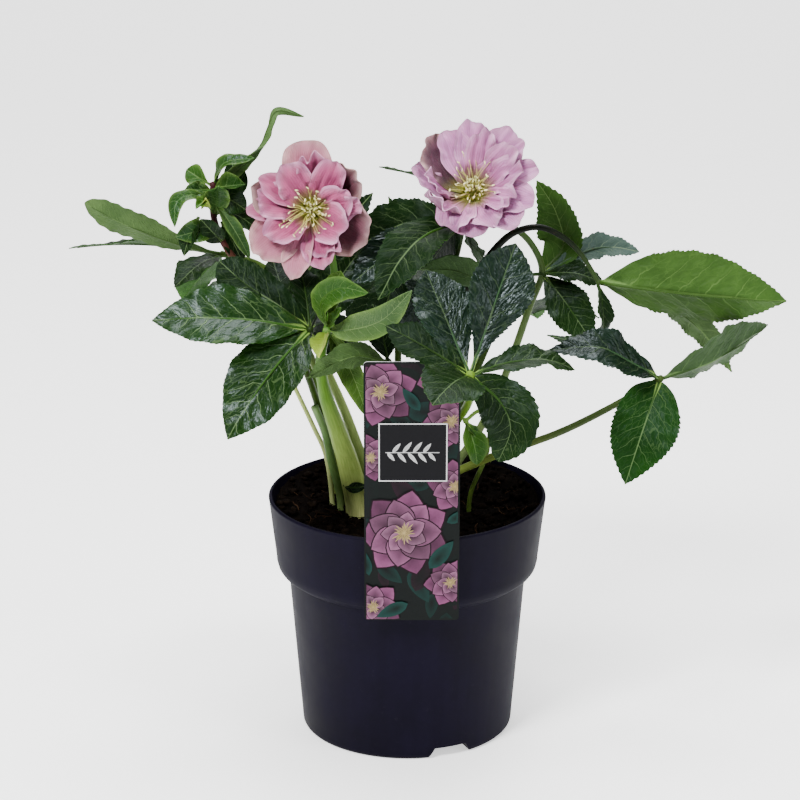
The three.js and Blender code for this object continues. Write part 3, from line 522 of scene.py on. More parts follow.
def channel_bar(index, wall):
    """What cuts one notch: a bar along the pot's underside, a wall larger for the pot's inside."""
    low, high, top = NOTCH["width"] / 2 + wall, NOTCH["top"] / 2 + wall, NOTCH["height"] + wall
    past = NOTCH["past"]
    ends = NOTCH["inner"] - wall, POT["foot"] - POT["wall"] * 0.5 if wall else POT["foot"] + past
    section = [(-low, -past), (low, -past), (low, 0), (high, top), (-high, top), (-low, 0)]
    turn = math.radians(NOTCH["first"] + 360 * index / NOTCH["count"])
    c, s = math.cos(turn), math.sin(turn)
    points = [[r * c - y * s, r * s + y * c, z] for r in ends for y, z in section]
    n = len(section)
    faces = [[k, (k + 1) % n, n + (k + 1) % n, n + k] for k in range(n)]
    return new_object("bar", points, [*faces, list(range(n))[::-1], list(range(n, 2 * n))])


def cut(name, target, tools):
    """A piece of target's shape with the tools taken away."""
    for item in [target, *tools]:
        link(item)
    for tool in tools:
        modifier = target.modifiers.new("cut", "BOOLEAN")
        modifier.operation, modifier.object, modifier.solver = "DIFFERENCE", tool, "EXACT"
    bpy.context.view_layer.update()
    done = bpy.data.meshes.new_from_object(target.evaluated_get(bpy.context.evaluated_depsgraph_get()))
    for item in [target, *tools]:
        bpy.data.objects.remove(item)
    return bpy.data.objects.new(name, done)


def arc(middle, radius, start, end, steps):
    angles = np.radians(np.linspace(start, end, steps))
    return [(middle[0] + radius * math.cos(a), middle[1] + radius * math.sin(a)) for a in angles]


def make_pot():
    height, rim, wall, lip, band_foot, band, shoulder, waist, foot, corner, floor_top = POT.values()
    lip, bend = lip * 0.5, corner * 0.7
    outer = [
        (0, 0), *arc((foot - bend, bend), bend, -90, 0, 6), (waist, shoulder), (waist + 0.4, shoulder + 0.9),
        (band - 2, shoulder + 4), (band - 0.9, shoulder + 5.6), (band, band_foot - 2),
        (band + 0.1, band_foot), (rim - 0.3, height - 3), *arc((rim - lip, height - lip), lip, -20, 90, 7),
        (0, height),
    ]
    inner = [
        (0, floor_top), (foot - corner - wall, floor_top), (foot - wall, corner + floor_top),
        (waist - wall, shoulder + 1), (band - wall - 2, shoulder + 5), (band - wall, band_foot),
        (rim - wall - 0.4, height - 0.8), (rim - wall, height + 0.2), (rim - wall, height + 5),
        (0, height + 5),
    ]
    notches = range(NOTCH["count"])
    hollow = cut("hollow", lathe("inside", inner), [channel_bar(k, wall) for k in notches])
    pot = cut("pot_fine", lathe("outside", outer), [hollow, *(channel_bar(k, 0) for k in notches)])
    pot.data.materials.clear()
    pot.data.materials.append(POT_SKIN)
    pot.data.shade_smooth()
    pot.data.set_sharp_from_angle(angle=math.radians(28))
    show(pot, "pot", "pot_plastic")


# ---------------- compost

# bump is the height of its lumps, bank how high it is heaped against the back of the wall.
SOIL = {"top": 121, "bump": 2.6, "bottom": 10, "rings": 5, "sectors": 20, "seed": 11, "edge": 71.3, "bank": 9}
# The plug's rings below the edge: share of the edge's radius, height.
PLUG = ((0.955, 98), (0.86, 87), (0.78, SOIL["bottom"]), (0.01, SOIL["bottom"]))
SOIL_LUMPS = ((1.3, 6, 1), (0.8, 2.4, 2))  # height, wavelength, seed
SOIL_SUNK = 0.4  # how far the surface is below the solid's, for the crumbs on it
CRUMBS, FIBRES = 1500, 150


def seeded(seed):
    """The repeatable random numbers that the compost's lumps come from."""
    state, wide = seed, 0xFFFFFFFF
    while True:
        state = (state + 0x6D2B79F5) & wide
        t = ((state ^ (state >> 15)) * (state | 1)) & wide
        t ^= (t + ((t ^ (t >> 7)) * (t | 61))) & wide
        yield ((t ^ (t >> 14)) & wide) / 4294967296


def soil_table():
    """The compost's height at the corners of its rings and sectors."""
    draws, rings, sectors = seeded(SOIL["seed"]), SOIL["rings"], SOIL["sectors"]
    table = np.full((rings + 1, sectors), SOIL["top"] + SOIL["bump"])
    for i in range(rings, 0, -1):
        share = i / rings
        for k in range(sectors):
            back = max(0, math.sin(2 * math.pi * k / sectors))
            table[i, k] = SOIL["top"] + SOIL["bump"] * (2 * next(draws) - 1) + 4 * share * back - 3 * share**2
    return table


SOIL_TABLE = soil_table()


def soil_height(x, y):
    reach, sectors = np.hypot(x, y) / SOIL["edge"], SOIL["sectors"]
    u, v = np.clip(reach, 0, 0.9999) * SOIL["rings"], (np.arctan2(y, x) / (2 * np.pi) % 1) * sectors
    i, k = u.astype(int), v.astype(int) % sectors
    a, b = u - i, v - v.astype(int)
    after = (k + 1) % sectors
    low, high = (SOIL_TABLE[ring, k] * (1 - b) + SOIL_TABLE[ring, after] * b for ring in (i, i + 1))
    heaped = np.clip((reach - 0.6) / 0.4, 0, 1) ** 1.5  # against the back of the wall
    return low * (1 - a) + high * a + SOIL["bank"] * heaped * np.clip(0.75 + 1.3 * y / SOIL["edge"], 0, 1)


def soil_point(x, y, above):
    return [x, y, float(soil_height(np.array(x), np.array(y))) + above]


def crumb(body, centre, size, tone, draw):
    rows, cols = 5, 7
    shape = globe(rows, cols)
    lumps = 1 + 0.35 * np.array([draw.uniform(-1, 1) for _ in range(rows * cols)]).reshape(rows, cols, 1)
    lumps[[0, -1]] = 1
    stretch = np.array([draw.uniform(low, high) for low, high in ((0.7, 1.4), (0.7, 1.2), (0.5, 0.9))])
    body.grid(np.array(centre) + shape * lumps * stretch * size, tone, shape, 0, around=True)


def scatter_crumbs(body, draw):
    for _ in range(CRUMBS):
        reach, turn = SOIL["edge"] * math.sqrt(draw.random()) * 0.985, 2 * math.pi * draw.random()
        size = 0.5 + 2.3 * draw.random() ** 3
        tone = blend(COMPOST, CRUMB, draw.random()) * (0.7 + 0.6 * draw.random())
        crumb(body, soil_point(reach * math.cos(turn), reach * math.sin(turn), size * 0.2), size, tone, draw)


def scatter_fibres(body, draw):
    for _ in range(FIBRES):
        reach, turn = (SOIL["edge"] - 7) * math.sqrt(draw.random()), 2 * math.pi * draw.random()
        length, way = 3 + 18 * draw.random() ** 3, 2 * math.pi * draw.random()
        line = []
        for step in (-1 / 2, -1 / 6, 1 / 6, 1 / 2):
            way += 0.7 * (draw.random() - 0.5)
            x = reach * math.cos(turn) + length * step * math.cos(way)
            y = reach * math.sin(turn) + length * step * math.sin(way)
            line.append(soil_point(x, y, 0.5 + 0.9 * draw.random()))
        thick = 0.12 + 0.22 * draw.random()
        tube(body, line, [thick, thick, thick * 0.5], blend(CRUMB, FIBRE, draw.random()), sides=5, rings=8)


def make_soil():
    body, draw = Body(), random.Random(900)
    radius, angle = np.linspace(0.01, 1, 60)[:, None] * SOIL["edge"], circle(220)
    x, y = radius * np.cos(angle), radius * np.sin(angle)
    flat = stack(x, y, 0)
    z = soil_height(x, y)
    for tall, wide, seed in SOIL_LUMPS:
        z = z + tall * rough(flat, wide, seed)
    z -= SOIL_SUNK
    flare = 1 + 0.018 * np.clip((z - SOIL["top"] - 2) / SOIL["bank"], 0, 1)
    points = stack(x * flare, y * flare, z)
    points = np.concatenate([points, [points[-1] * [k, k, 0] + [0, 0, height] for k, height in PLUG]])
    shade = blend(COMPOST * 0.7, COMPOST * 1.3, 0.5 + rough(points, 6, 3))
    body.grid(points, shade, points * 0.1, 0, around=True)
    scatter_crumbs(body, draw)
    scatter_fibres(body, draw)
    body.build("compost_fine", [SOIL_SKIN], "soil", "compost")


# ---------------- label

# front is the card's y at the rim's height, back the stake's y at its top, and middle the label's x.
LABEL = {"width": 49, "bottom": 87.5, "top": 231.5, "thick": 0.8, "front": -76.6, "lean": 4, "middle": 2.2,
         "corner": 2, "margin": 1, "fold": 1.2}
STAKE = {"width": 16, "top": 136, "tip": 64, "point": 18, "back": -70.4, "lean": 12}
CARD_HALF, CARD_TALL = LABEL["width"] / 2, LABEL["top"] - LABEL["bottom"]
CARD_SIDES = (LABEL["thick"] / 2, -LABEL["thick"] / 2)
INK_LIFT, INK_LAYER = 0.04, 0.0015  # how far the print is off the card, and each shape off the last


def on_plate(across, up, out, lean, y, foot, pivot):
    """Places on a leaning plate: across it, up from its foot and out to the front."""
    lean, rise = math.radians(lean), up + foot - pivot
    depth, height = y - out * math.cos(lean), pivot + rise * math.cos(lean)
    return stack(LABEL["middle"] + across, depth - rise * math.sin(lean), height - out * math.sin(lean))


def on_card(points, out):
    place = (LABEL["lean"], LABEL["front"], LABEL["bottom"], POT["height"])
    return on_plate(points[:, 0], points[:, 1], out, *place)


def fan(body, points, colours, grain, flip=False):
    """Triangles from the first point to each side of the loop of the others."""
    n = len(points) - 1
    faces = np.array([[0, 1 + k, 1 + (k + 1) % n] for k in range(n)])
    body.add(points, faces[:, ::-1] if flip else faces, colours, grain, 0)


class Print:
    """Draws flat shapes on the card, each a little in front of the last."""

    def __init__(self, body):
        self.body, self.layer = body, 0

    def shape(self, points, colour, centre=None, middle_colour=None):
        """A fan from its centre to the outline."""
        self.layer += 1
        points = np.array(points, float)
        every = np.vstack([points.mean(0) if centre is None else centre, points])
        margin, wide = LABEL["margin"], CARD_HALF - LABEL["margin"]
        every = np.clip(every, [-wide, margin], [wide, CARD_TALL - margin])
        place = on_card(every, LABEL["thick"] / 2 + INK_LIFT + INK_LAYER * self.layer)
        colours = np.tile(colour, (len(every), 1))
        if middle_colour is not None:
            colours[0] = middle_colour
        fan(self.body, place, colours, place * 0.1)

    def petal(self, at, angle, length, width, colour, middle_colour):
        u = np.linspace(0, 1, 9)
        half = np.stack([u * length, width / 2 * np.sin(np.pi * u**0.8) ** 0.8], 1)
        loop = np.vstack([half, (half * [1, -1])[::-1][1:-1]])
        c, s = math.cos(angle), math.sin(angle)
        centre = np.array([c, s]) * length * 0.35 + at
        self.shape(loop @ np.array([[c, s], [-s, c]]) + at, colour, centre, middle_colour)

    def rosette(self, at, size, petals, turn):
        for ring, (share, tone) in enumerate(((1, 0), (0.8, 0.25), (0.5, 0.6))):
            for k in range(petals):
                angle = turn + 2 * math.pi * (k + 0.5 * ring) / petals
                pink = blend(CARD_PINK * (0.4 + 0.6 * math.cos(angle - 0.9) ** 2), CARD_BLUSH, tone * 0.3)
                reach = size * share
                self.petal(at, angle, reach * 1.04, reach * 0.86, CARD_ROSE * 0.5, CARD_ROSE * 0.4)
                self.petal(at, angle, reach, reach * 0.8, pink, CARD_ROSE)
        for k in range(26):
            reach = size * (0.14 + 0.02 * (k % 9))
            self.petal(at, turn + 2.4 * k, reach, size * 0.035, CARD_STAMEN, CARD_STAMEN * 0.3)

    def rectangle(self, x0, y0, x1, y1, colour):
        self.shape([[x0, y0], [x1, y0], [x1, y1], [x0, y1]], colour)


def make_card(body):
    """The card's two sides and its edge."""
    corner, ring = LABEL["corner"], []
    for start, x, y in ((-90, 1, 0), (0, 1, 1), (90, -1, 1), (180, -1, 0)):
        middle = (x * (CARD_HALF - corner), CARD_TALL - corner if y else corner)
        ring += arc(middle, corner, start, start + 90, 6)
    middle, ring = np.array([0, CARD_TALL / 2]), np.array(ring)
    loops = [middle + (ring - middle) * k for k in (0.001, 0.5, 1)]
    front, back = (np.array([on_card(loop, out) for loop in loops]) for out in CARD_SIDES)
    edge = np.stack([front[-1], back[-1]])
    body.grid(front, blend(CARD_BACK, CARD_LEAF, 0.3), front * 0.1, 0, around=True)
    body.grid(back, CARD_PALE, back * 0.1, 0, around=True, flip=True)
    body.grid(edge, CARD_PALE, edge * 0.1, 0, around=True)


def make_stake(body):
    """The pointed stake behind the wall, and the fold that joins it to the card over the rim."""
    w, tall, point = STAKE["width"] / 2, STAKE["top"] - STAKE["tip"], STAKE["point"]
    across, up = np.array([[-w, tall], [-w, point], [0, 0], [w, point], [w, tall]]).T
    place = (STAKE["lean"], STAKE["back"], STAKE["tip"], STAKE["top"])
    stake = np.array([on_plate(across, up, out, *place) for out in CARD_SIDES])
    body.grid(stake, CARD_PALE, stake * 0.1, 0, around=True)
    for side, flip in zip(stake, (True, False)):
        points = np.vstack([side.mean(0), side])
        fan(body, points, CARD_PALE, points * 0.1, flip)
    front, back, fold = LABEL["front"], STAKE["back"], LABEL["fold"]
    low, high = STAKE["top"] - 1.5 * fold, STAKE["top"] - 0.5 * fold
    section = ((front, low), (back, low), (back, high), (front, high))
    loop = np.array([[[LABEL["middle"] + x, y, z] for y, z in section] for x in (-w, w)])
    body.grid(loop, CARD_PALE, loop * 0.1, 0, around=True, flip=True)


def make_print(body):
    """A generic picture: dusky leaves, rosette flowers and a framed panel with a drawn sprig."""
    ink, draw = Print(body), random.Random(40)
    for _ in range(46):  # dusky leaves and petals in the dark behind the flowers
        at = np.array([draw.uniform(-CARD_HALF, CARD_HALF), draw.uniform(0, CARD_TALL)])
        angle, size = draw.uniform(0, 6.28), draw.uniform(12, 26)
        tone, most = draw.choice(((CARD_TEAL, 0.6), (CARD_ROSE, 0.9), (CARD_LEAF, 1)))
        tone = blend(CARD_LEAF, tone, draw.uniform(0.4, 1) * most)
        ink.petal(at, angle, size, size * 0.45, tone, CARD_BACK)
    for at, size, petals, turn in (
        ((-16, 128), 19, 6, 0.3), ((17, 136), 15, 5, 0.9), ((20, 112), 16, 6, 0.2), ((-21, 92), 13, 6, 0.7),
        ((22, 76), 15, 5, 0.4), ((-4, 50), 24, 7, 0.5), ((20, 22), 14, 6, 0.1), ((-20, 8), 15, 5, 0.8),
    ):
        ink.rosette(at, size, petals, turn)
    for at, angle, size in (
        ((9, 30), 0.9, 20), ((-22, 26), 1.9, 17), ((18, 56), 0.5, 14), ((-2, 10), -2.7, 18),
        ((4, 118), 2.2, 15),
    ):
        ink.petal(at, angle, size, size * 0.4, CARD_TEAL, CARD_LEAF)
    left, low, right, high, line = -17, 79, 18, 111, 0.6
    ink.rectangle(left, low, right, high, CARD_PANEL)
    ink.rectangle(left, low, right, low + line, CARD_FRAME)
    ink.rectangle(left, high - line, right, high, CARD_FRAME)
    ink.rectangle(left, low, left + line, high, CARD_FRAME)
    ink.rectangle(right - line, low, right, high, CARD_FRAME)
    middle = (low + high) / 2
    for k in range(9):  # the sprig
        at, angle = (-12.5 + 2.6 * k, middle), 0.9 if k % 2 else -0.9
        ink.petal(at, angle, 8 - 0.5 * abs(k - 4), 2, CARD_PALE, CARD_FRAME * 0.5)
    ink.rectangle(-13.5, middle - 0.2, 14, middle + 0.2, CARD_PALE)


def make_label():
    body = Body()
    make_card(body)
    make_stake(body)
    make_print(body)
    body.build("plant_label_fine", [CARD], "plant_label", "label_card", sharp=40)

# ---------------- blades

TOOTH_PITCH, TOOTH_DEPTH = 2.6, 0.85
TOOTH_STEPS, TOOTH_HEIGHTS = (0, 0.4, 0.78, 0.9), (-1, 0.05, 1, 0)  # the outline of one tooth
SERRATE_FROM, SERRATE_TO = 0.25, 0.97  # the part of a blade's length that has teeth
BLADE_THICK, ROOT_OFFSET = 0.5, 1.2
SIDE_SHIFT = 1.9  # how far the waves of a blade's left half are ahead of its right half's, in radians


# start is where a blade grows, if that isn't its stalk's node, and via is where it passes. widest says how
# far along it is widest, root is half the width of its foot, and fold and cup lift its sides.
USUAL = {"start": None, "via": (), "bow": 0, "twist": 0, "widest": 0.55, "taper": 0.85, "root": 1,
         "rows": 40, "cols": 21, "fold": 0, "cup": 0, "teeth": False}


def row(kind, to, face, width, look, **more):
    """A blade: where its tip is, which way its upper side faces, its width and its look."""
    return {**USUAL, **kind, "to": to, "face": face, "width": width, "look": look, **more}


big = partial(row, {"teeth": True, "fold": 0.18, "wave": 1.2, "taper": 0.95, "cols": 25})
mid = partial(row, {"teeth": True, "fold": 0.2, "wave": 1, "taper": 0.95})
small = partial(row, {"fold": 0.35, "wave": 0.8, "root": 0.8, "cols": 17})


def stations(length, toothed, rows):
    """Places along a blade with each one's tooth height, -1 to 1."""
    if not toothed:
        return 1 - (1 - np.linspace(0, 1, rows + 1)) ** 1.4, np.zeros(rows + 1)
    teeth = max(4, round(length * (SERRATE_TO - SERRATE_FROM) / TOOTH_PITCH))
    pitch = (SERRATE_TO - SERRATE_FROM) / teeth
    t = SERRATE_FROM + pitch * (np.arange(teeth)[:, None] + TOOTH_STEPS)
    start, end = np.linspace(0, SERRATE_FROM, 16)[:-1], np.linspace(SERRATE_TO, 1, 5)
    heights = np.concatenate([0 * start, np.tile(TOOTH_HEIGHTS, teeth), 0 * end])
    return np.concatenate([start, t.ravel(), end]), heights


def leaf_colours(look, shift, t, s):
    """The colours of a blade's upper and under side."""
    top, low = (rgb(code) * shift for code in LOOKS[look][:2])
    if look in FRESH:
        top = blend(top, blend(top, FRESH_RIM, 0.6), 0.85 * np.abs(s) ** 6 + 0.3 * (1 - t) ** 3)
    else:
        top = blend(top * 0.85, top * 1.3, 0.55 * np.abs(s) ** 2 + 0.35 * t)
    return top, blend(low, low * 0.82, 1 - t)


def bulges(x, y, s, tall):
    """How far a blade swells between its side veins. x and y are in steps from vein to vein."""
    veins = y - VEIN_SLOPE * np.abs(x) - VEIN_CURL * x * x + 0.25 * np.sign(x)
    swell = 0.5 - 0.5 * np.cos(2 * np.pi * (veins - 0.5))
    return swell * (tall * np.clip(np.abs(s) * 3, 0, 1) * (1 - np.abs(s) ** 5))


def grow_blade(body, node, spec, draw, seed, tooth=TOOTH_DEPTH):
    """A leaf blade with its rim and midrib. It starts a little away from its node."""
    to, width, look, root = (spec[key] for key in ("to", "width", "look", "root"))
    start = np.array(spec["start"] or node, float)
    start += unit(np.array([*spec["via"], to][0], float) - start) * ROOT_OFFSET
    length = np.linalg.norm(to - start)
    quilt, ripple, lumps, pitch, spacing = 0.4, 0.8, 1.8, 9 + 4 * draw.random(), max(4.5, 0.135 * length)
    if not spec["teeth"]:
        quilt, ripple, lumps, pitch, spacing = 0.25, 0.5 * width / 14, 0.7, 6 + 3 * draw.random(), 4.5
    t, teeth = stations(length, spec["teeth"], spec["rows"])
    place, side, normal = spine(start, to, spec["face"], t, spec["via"], spec["bow"], spec["twist"])
    share = outline(t, spec["widest"], spec["taper"])
    half = np.maximum(root * (1 - 0.55 * t), share * width / 2)
    t, teeth, run, share, half = (v[:, None] for v in (t, teeth, distance_along(place), share, half))
    s = sine_steps(spec["cols"])
    # how far each point is to the side, with uneven halves and teeth
    uneven = 1 + 0.05 * np.sin(7 * t + seed + 2 * np.sign(s)) * share
    reach = s * half * uneven + np.sign(s) * np.abs(s) ** 8 * teeth * tooth / 2
    # how far it is lifted: fold, waves, ripples at the edge and lumps
    lift = half * (spec["fold"] * np.abs(s) + spec["cup"] * s * s)
    lift = lift + spec["wave"] * share * s * s * np.sin(4 * np.pi * t + np.where(s < 0, SIDE_SHIFT, 0))
    lift += ripple * share * np.abs(s) ** 3 * np.sin(run / (pitch / 6.28) + 2.6 * np.sign(s) + seed)
    sheet = place[:, None] + side[:, None] * reach[..., None]
    lift += lumps * rough(sheet, 20, seed) * share
    x, y = reach / spacing, run / spacing
    puffs = bulges(x, y, s, quilt * spacing / 8)
    groove = np.exp(-((reach / 1.1) ** 2)) * (1 - t) * min(1, width / 16)
    heights = (lift + puffs - 0.45 * groove, lift - BLADE_THICK + 0.8 * puffs - 0.9 * groove)
    top, low = (sheet + normal[:, None] * height[..., None] for height in heights)
    grain = stack(x, y, half / spacing)
    top_colour, low_colour = leaf_colours(look, 0.94 + 0.12 * draw.random(), t, s)
    body.dull = LOOKS[look][2]
    body.grid(top, top_colour, grain, UPPER, flip=True)
    body.grid(low, low_colour, grain, UNDER)
    body.rims(top, low, low_colour, grain, UNDER, ends=(0, -1))
    line = (place - normal * (BLADE_THICK + 0.1))[np.linspace(0, len(t) - 6, 12).astype(int)]
    rib = blend(PETIOLE, rgb(LOOKS[look][1]), 0.55)
    tube(body, line, [root * 0.9, 0.6, 0.4, 0.2], rib, STALK, sides=8, rings=30)


# ---------------- leaves and stems

# What carries a bloom's petals: its depth, its radii, and how far before it the stem is on the bloom's axis.
CUP = {"depth": 4.5, "back": 2.6, "front": 5, "approach": 9}
CLEAR = 0.35  # between a stem and its bloom, and between the petals and the stamens
SMALL_TEETH = 0.45 * TOOTH_DEPTH


def grow(name, slot, route, radii, tones, node, knob, blades, draw, seed, tooth=TOOTH_DEPTH, **form):
    """A stalk with a knob at its node, and the blades that grow from there."""
    body, skins = Body(), rgbs(tones)
    tube(body, route, radii, skins, STALK, **form)
    if node:
        ball = globe(8, 12) * (radii[-1] + knob)
        body.grid(np.array(node) + ball, skins[-1], ball, STALK, around=True)
    for k, spec in enumerate(blades):
        grow_blade(body, node, spec, draw, seed + k, tooth)
    body.build(f"{name}_fine", LEAF_SKINS, name, slot)


def grow_leaf(index, name, radii, petiole, leaflets, tones="76863f 2c4010 182808", tooth=TOOTH_DEPTH):
    draw = random.Random(100 + index)
    grow(name, "leaf", petiole, radii, tones, petiole[-1], 0.4, leaflets, draw, 10 * index, tooth, sides=14)


def grow_stem(index, name, radii, tones, route, bracts=(), node=None, seat=None):
    """A stem with its bracts at a node. It ends at the foot of the bloom that has this seat."""
    if seat:
        at, end = seat[0], -CUP["depth"] - CLEAR
        route = [*route, at(0, 0, end - CUP["approach"]), at(0, 0, end)]
    draw, form = random.Random(300 + index), {"sides": 18, "rings": 8 * len(route)}
    grow(name, "young_growth", route, radii, tones, node, 0.7, bracts, draw, 400 + 20 * index, **form)


# ---------------- blooms

PETAL_ROWS, PETAL_COLS = 44, 35
PETAL_TAPER, PETAL_WIDEST = 0.45, 0.63
# How far each kind of petal ruffles, pleats, curls and is cut in at its edge.
RUFFLE = {
    "o": (0.8, 0.5, 1.8, 0.035),  # outer
    "p": (0.8, 0.3, 1.6, 0.02),  # pale outer
    "m": (0.9, 0.3, 1.6, 0.03),  # maroon outer; its maroon is partly painted shade
    "i": (1.9, 0.6, 2.8, 0.06),  # inner
}
PETAL_SUNK, PETAL_THICK = 0.6, 0.4  # how far a petal's foot is below the seat, and its thickness


def bloom_seat(centre, faces):
    """A function for places in a bloom, by angle, radius and height, and the way that it faces."""
    axis = unit(faces)
    up = unit(np.array([0, 0, 1]) - axis * axis[2])
    right = np.cross(up, axis)

    def at(angle, radius, height):
        out = right * radius * math.cos(angle)
        return np.array(centre) + out + up * radius * math.sin(angle) + axis * height

    return at, axis


def petal(body, seat, spec, main, seed):
    """A ruffled petal. spec: angle, pitch, length, width, bow, roll, kind and sometimes its tip's taper."""
    angle, pitch, length, width, bow, roll, kind, taper = (*spec, PETAL_TAPER)[:8]
    angle, pitch, roll = (math.radians(v) for v in (angle, pitch, roll))
    at, axis = seat
    start, low = CUP["front"] * 0.55, -PETAL_SUNK
    base = at(angle, start, low)
    tip = at(angle, start + length * math.cos(pitch), low + length * math.sin(pitch))
    along = unit(tip - base)
    face = axis * math.cos(roll) + np.cross(along, axis) * math.sin(roll)
    face = face + along * (along @ axis) * (1 - math.cos(roll))
    t = 1 - (1 - np.linspace(0, 1, PETAL_ROWS)) ** 1.3
    place, side, normal = spine(base, tip, face, t, bow=bow)
    share = outline(t, PETAL_WIDEST, taper)
    half = np.maximum(1.6 * (1 - 0.55 * t), share * width / 2)
    t, share, half = (v[:, None] for v in (t, share, half))
    s = sine_steps(PETAL_COLS)
    draw = random.Random(seed)
    ruffle, pleat, curl, nick = RUFFLE[kind]

    def wave(value):
        return np.sin(value + 2 * math.pi * draw.random())

    # edge is 0 inside and 1 at the rim; the rim has a frill, and is cut in and swells
    across, ahead = s * half / (width / 2), 2 * t - 1
    around = np.arctan2(across, ahead)
    edge = np.clip(np.hypot(across, np.maximum(ahead, 0)), 0, 1) * np.clip(2.2 * t, 0, 1)
    count = round((width + length) / 7.2)
    frill = wave(count * around) + 0.7 * wave((count + 3) * around) + 0.3 * wave(2 * count * around)
    swell = nick * edge**3 * (wave(2 * around) + 0.9 * wave(5 * around) + 0.35 * wave(9 * around))
    reach = s * half * (1 + swell)
    # how far each point is lifted: cupped and waved, the frill, curls at the tip and the sides, and pleats
    lift = half * 0.22 * s**2 + 0.8 * share * s**2 * wave(4 * np.pi * t + np.where(s < 0, SIDE_SHIFT, 0))
    lift += ruffle * edge**3.5 * frill * (0.6 + 0.7 * draw.random())
    lift += curl * draw.uniform(-0.5, 1.1) * np.clip((t - 0.55) / 0.45, 0, 1) ** 2
    lift += 0.5 * curl * draw.uniform(-1, 1) * np.sign(s) * np.abs(s) ** 4 * np.sin(np.pi * t)
    lift -= 0.9 * pleat * np.exp(-((reach / 2.4) ** 2)) * np.sin(np.pi * np.clip(t * 1.1, 0, 1))
    folds = wave(9 * s + 1.5 * t) + 0.6 * wave(17 * s - 2 * t)
    lift += 1.25 * pleat * folds * np.sin(np.pi * t**0.8) * (1 - np.abs(s) ** 4)
    forward = (np.maximum(ahead, 0) * swell * length / 2)[..., None]
    sheet = place[:, None] + side[:, None] * reach[..., None] + np.cross(normal, side)[:, None] * forward
    lift += 0.8 * rough(sheet, 7, seed) * share
    front, back = (sheet + normal[:, None] * (lift - deep)[..., None] for deep in (0, PETAL_THICK))
    fronts, backs = petal_colours(kind, main, t, s, edge)
    grain = stack(s * width / 2.4, t * length / 8, t)
    body.grid(front, fronts, grain, 0, flip=True)
    body.grid(back, backs, grain, 0)
    body.rims(front, back, fronts, grain, 0, ends=(-1,))


def petal_colours(kind, main, t, s, edge):
    """A petal's front and back colours: deeper towards the foot, paler at the rim. The deep rose and the
    maroon are partly the petals' own colour and partly painted shade.
    """
    away = np.clip(1.25 * t, 0, 1)
    inside, rim = {
        "o": (main, blend(main, PETAL_PALE, 0.5)),
        "p": (blend(main, PETAL_CREAM, 0.3), PETAL_CREAM),
        "m": (blend(main, PETAL_MAROON_AND_SHADE, 0.85), PETAL_CREAM),
        "i": (blend(main, PETAL_ROSE_AND_SHADE, 0.2), blend(main, PETAL_PALE, 0.7)),
    }[kind]
    # Partly painted shade: deep rose towards the foot, and maroon on the "m" petals.
    fronts = blend(blend(main, PETAL_ROSE_AND_SHADE, 0.75 if kind == "i" else 0.35), inside, away**0.8)
    if kind == "m":
        fronts = blend(PETAL_MAROON_AND_SHADE, inside, away**2)
    fronts = fronts * (1 - 0.16 * np.exp(-((s / 0.16) ** 2)) * (1 - t))[..., None]
    fronts = blend(fronts, rim, 0.75 * edge**6)
    fronts = blend(fronts, PETAL_FOOT, 1.4 * np.clip(1 - t / (0.46 if kind == "i" else 0.36), 0, 1))
    backs = blend(blend(fronts, main, 0.4), PETAL_GREEN, 0.3 * (1 - away) + (0.35 if kind in "mp" else 0.15))
    return fronts, backs


def make_petals(index, bloom, seat, main, petals):
    at, body = seat[0], Body()
    cup = [at(0, 0, -CUP["depth"]), at(0, 0, -CUP["depth"] * 0.5), at(0, 0, 0)]
    radii = [CUP["back"], CUP["back"] + 1, CUP["front"]]
    tube(body, cup, radii, [PETIOLE, PETAL_GREEN, PETAL_FOOT], sides=24, rings=8)
    for k, spec in enumerate(petals):
        petal(body, seat, spec, main, 500 + index * 40 + k)
    body.build(f"{bloom}_petals_fine", [PETAL], f"{bloom}_petals", "petal")


DISC, DISC_DEPTH, FILAMENT_RADIUS, ANTHER_RADIUS = 2.1, 3, 0.16, 0.45
TURN = math.pi * (3 - math.sqrt(5))  # between one stamen and the next


def grow_stamen(body, at, k, lean, inner, spread, draw):
    """One stamen: short and upright in the middle, longer round it, longest where the ring leans."""
    angle = k * TURN + 0.5 * (draw.random() - 0.5)
    outer = k >= inner
    share = (k - inner) / spread if outer else k / inner
    if outer:
        pitch, length = 66 - 38 * share + 14 * (draw.random() - 0.5), 9 + 7 * draw.random()
        length *= 1 + 0.35 * math.cos(angle - math.radians(lean))
        root, wide = DISC_DEPTH * (0.85 - 0.5 * share), DISC * (0.65 + 0.3 * share)
    else:
        pitch, length = 84 - 26 * share + 8 * (draw.random() - 0.5), 5.5 + 4.5 * draw.random()
        root, wide = DISC_DEPTH * 0.85, DISC * 0.55 * share
    drift, sag = 1.1 * (draw.random() - 0.5), 0.12 * length * draw.random()
    out, rise = length * math.cos(math.radians(pitch)), length * math.sin(math.radians(pitch))
    middle = at(angle + drift * 0.3, wide + 0.3 * out, root + 0.55 * rise + sag)
    tip = at(angle + drift, wide + out, root + rise)
    hue = blend(FILAMENT, FILAMENT_PINK, draw.random() * 0.6 * share * outer)
    radii = [0.28, FILAMENT_RADIUS, FILAMENT_RADIUS]
    tube(body, [at(angle, wide, root), middle, tip], radii, [CARPEL, hue, hue], sides=6, rings=8)
    ahead = unit(unit(tip - middle) * 0.6 + unit([draw.random() - 0.5 for _ in range(3)]) * 0.8)
    size = ANTHER_RADIUS * (0.8 + 0.5 * draw.random())
    ripe = (ANTHER if outer else blend(ANTHER_GREEN, ANTHER, 0.2 + 0.8 * share)) * (0.8 + 0.2 * draw.random())
    ends = [tip - ahead * 0.4, tip + ahead * 0.5, tip + ahead * 1.4]
    tube(body, ends, [size * 0.6, size, size * 0.6], ripe, sides=8, rings=6, squash=0.7)


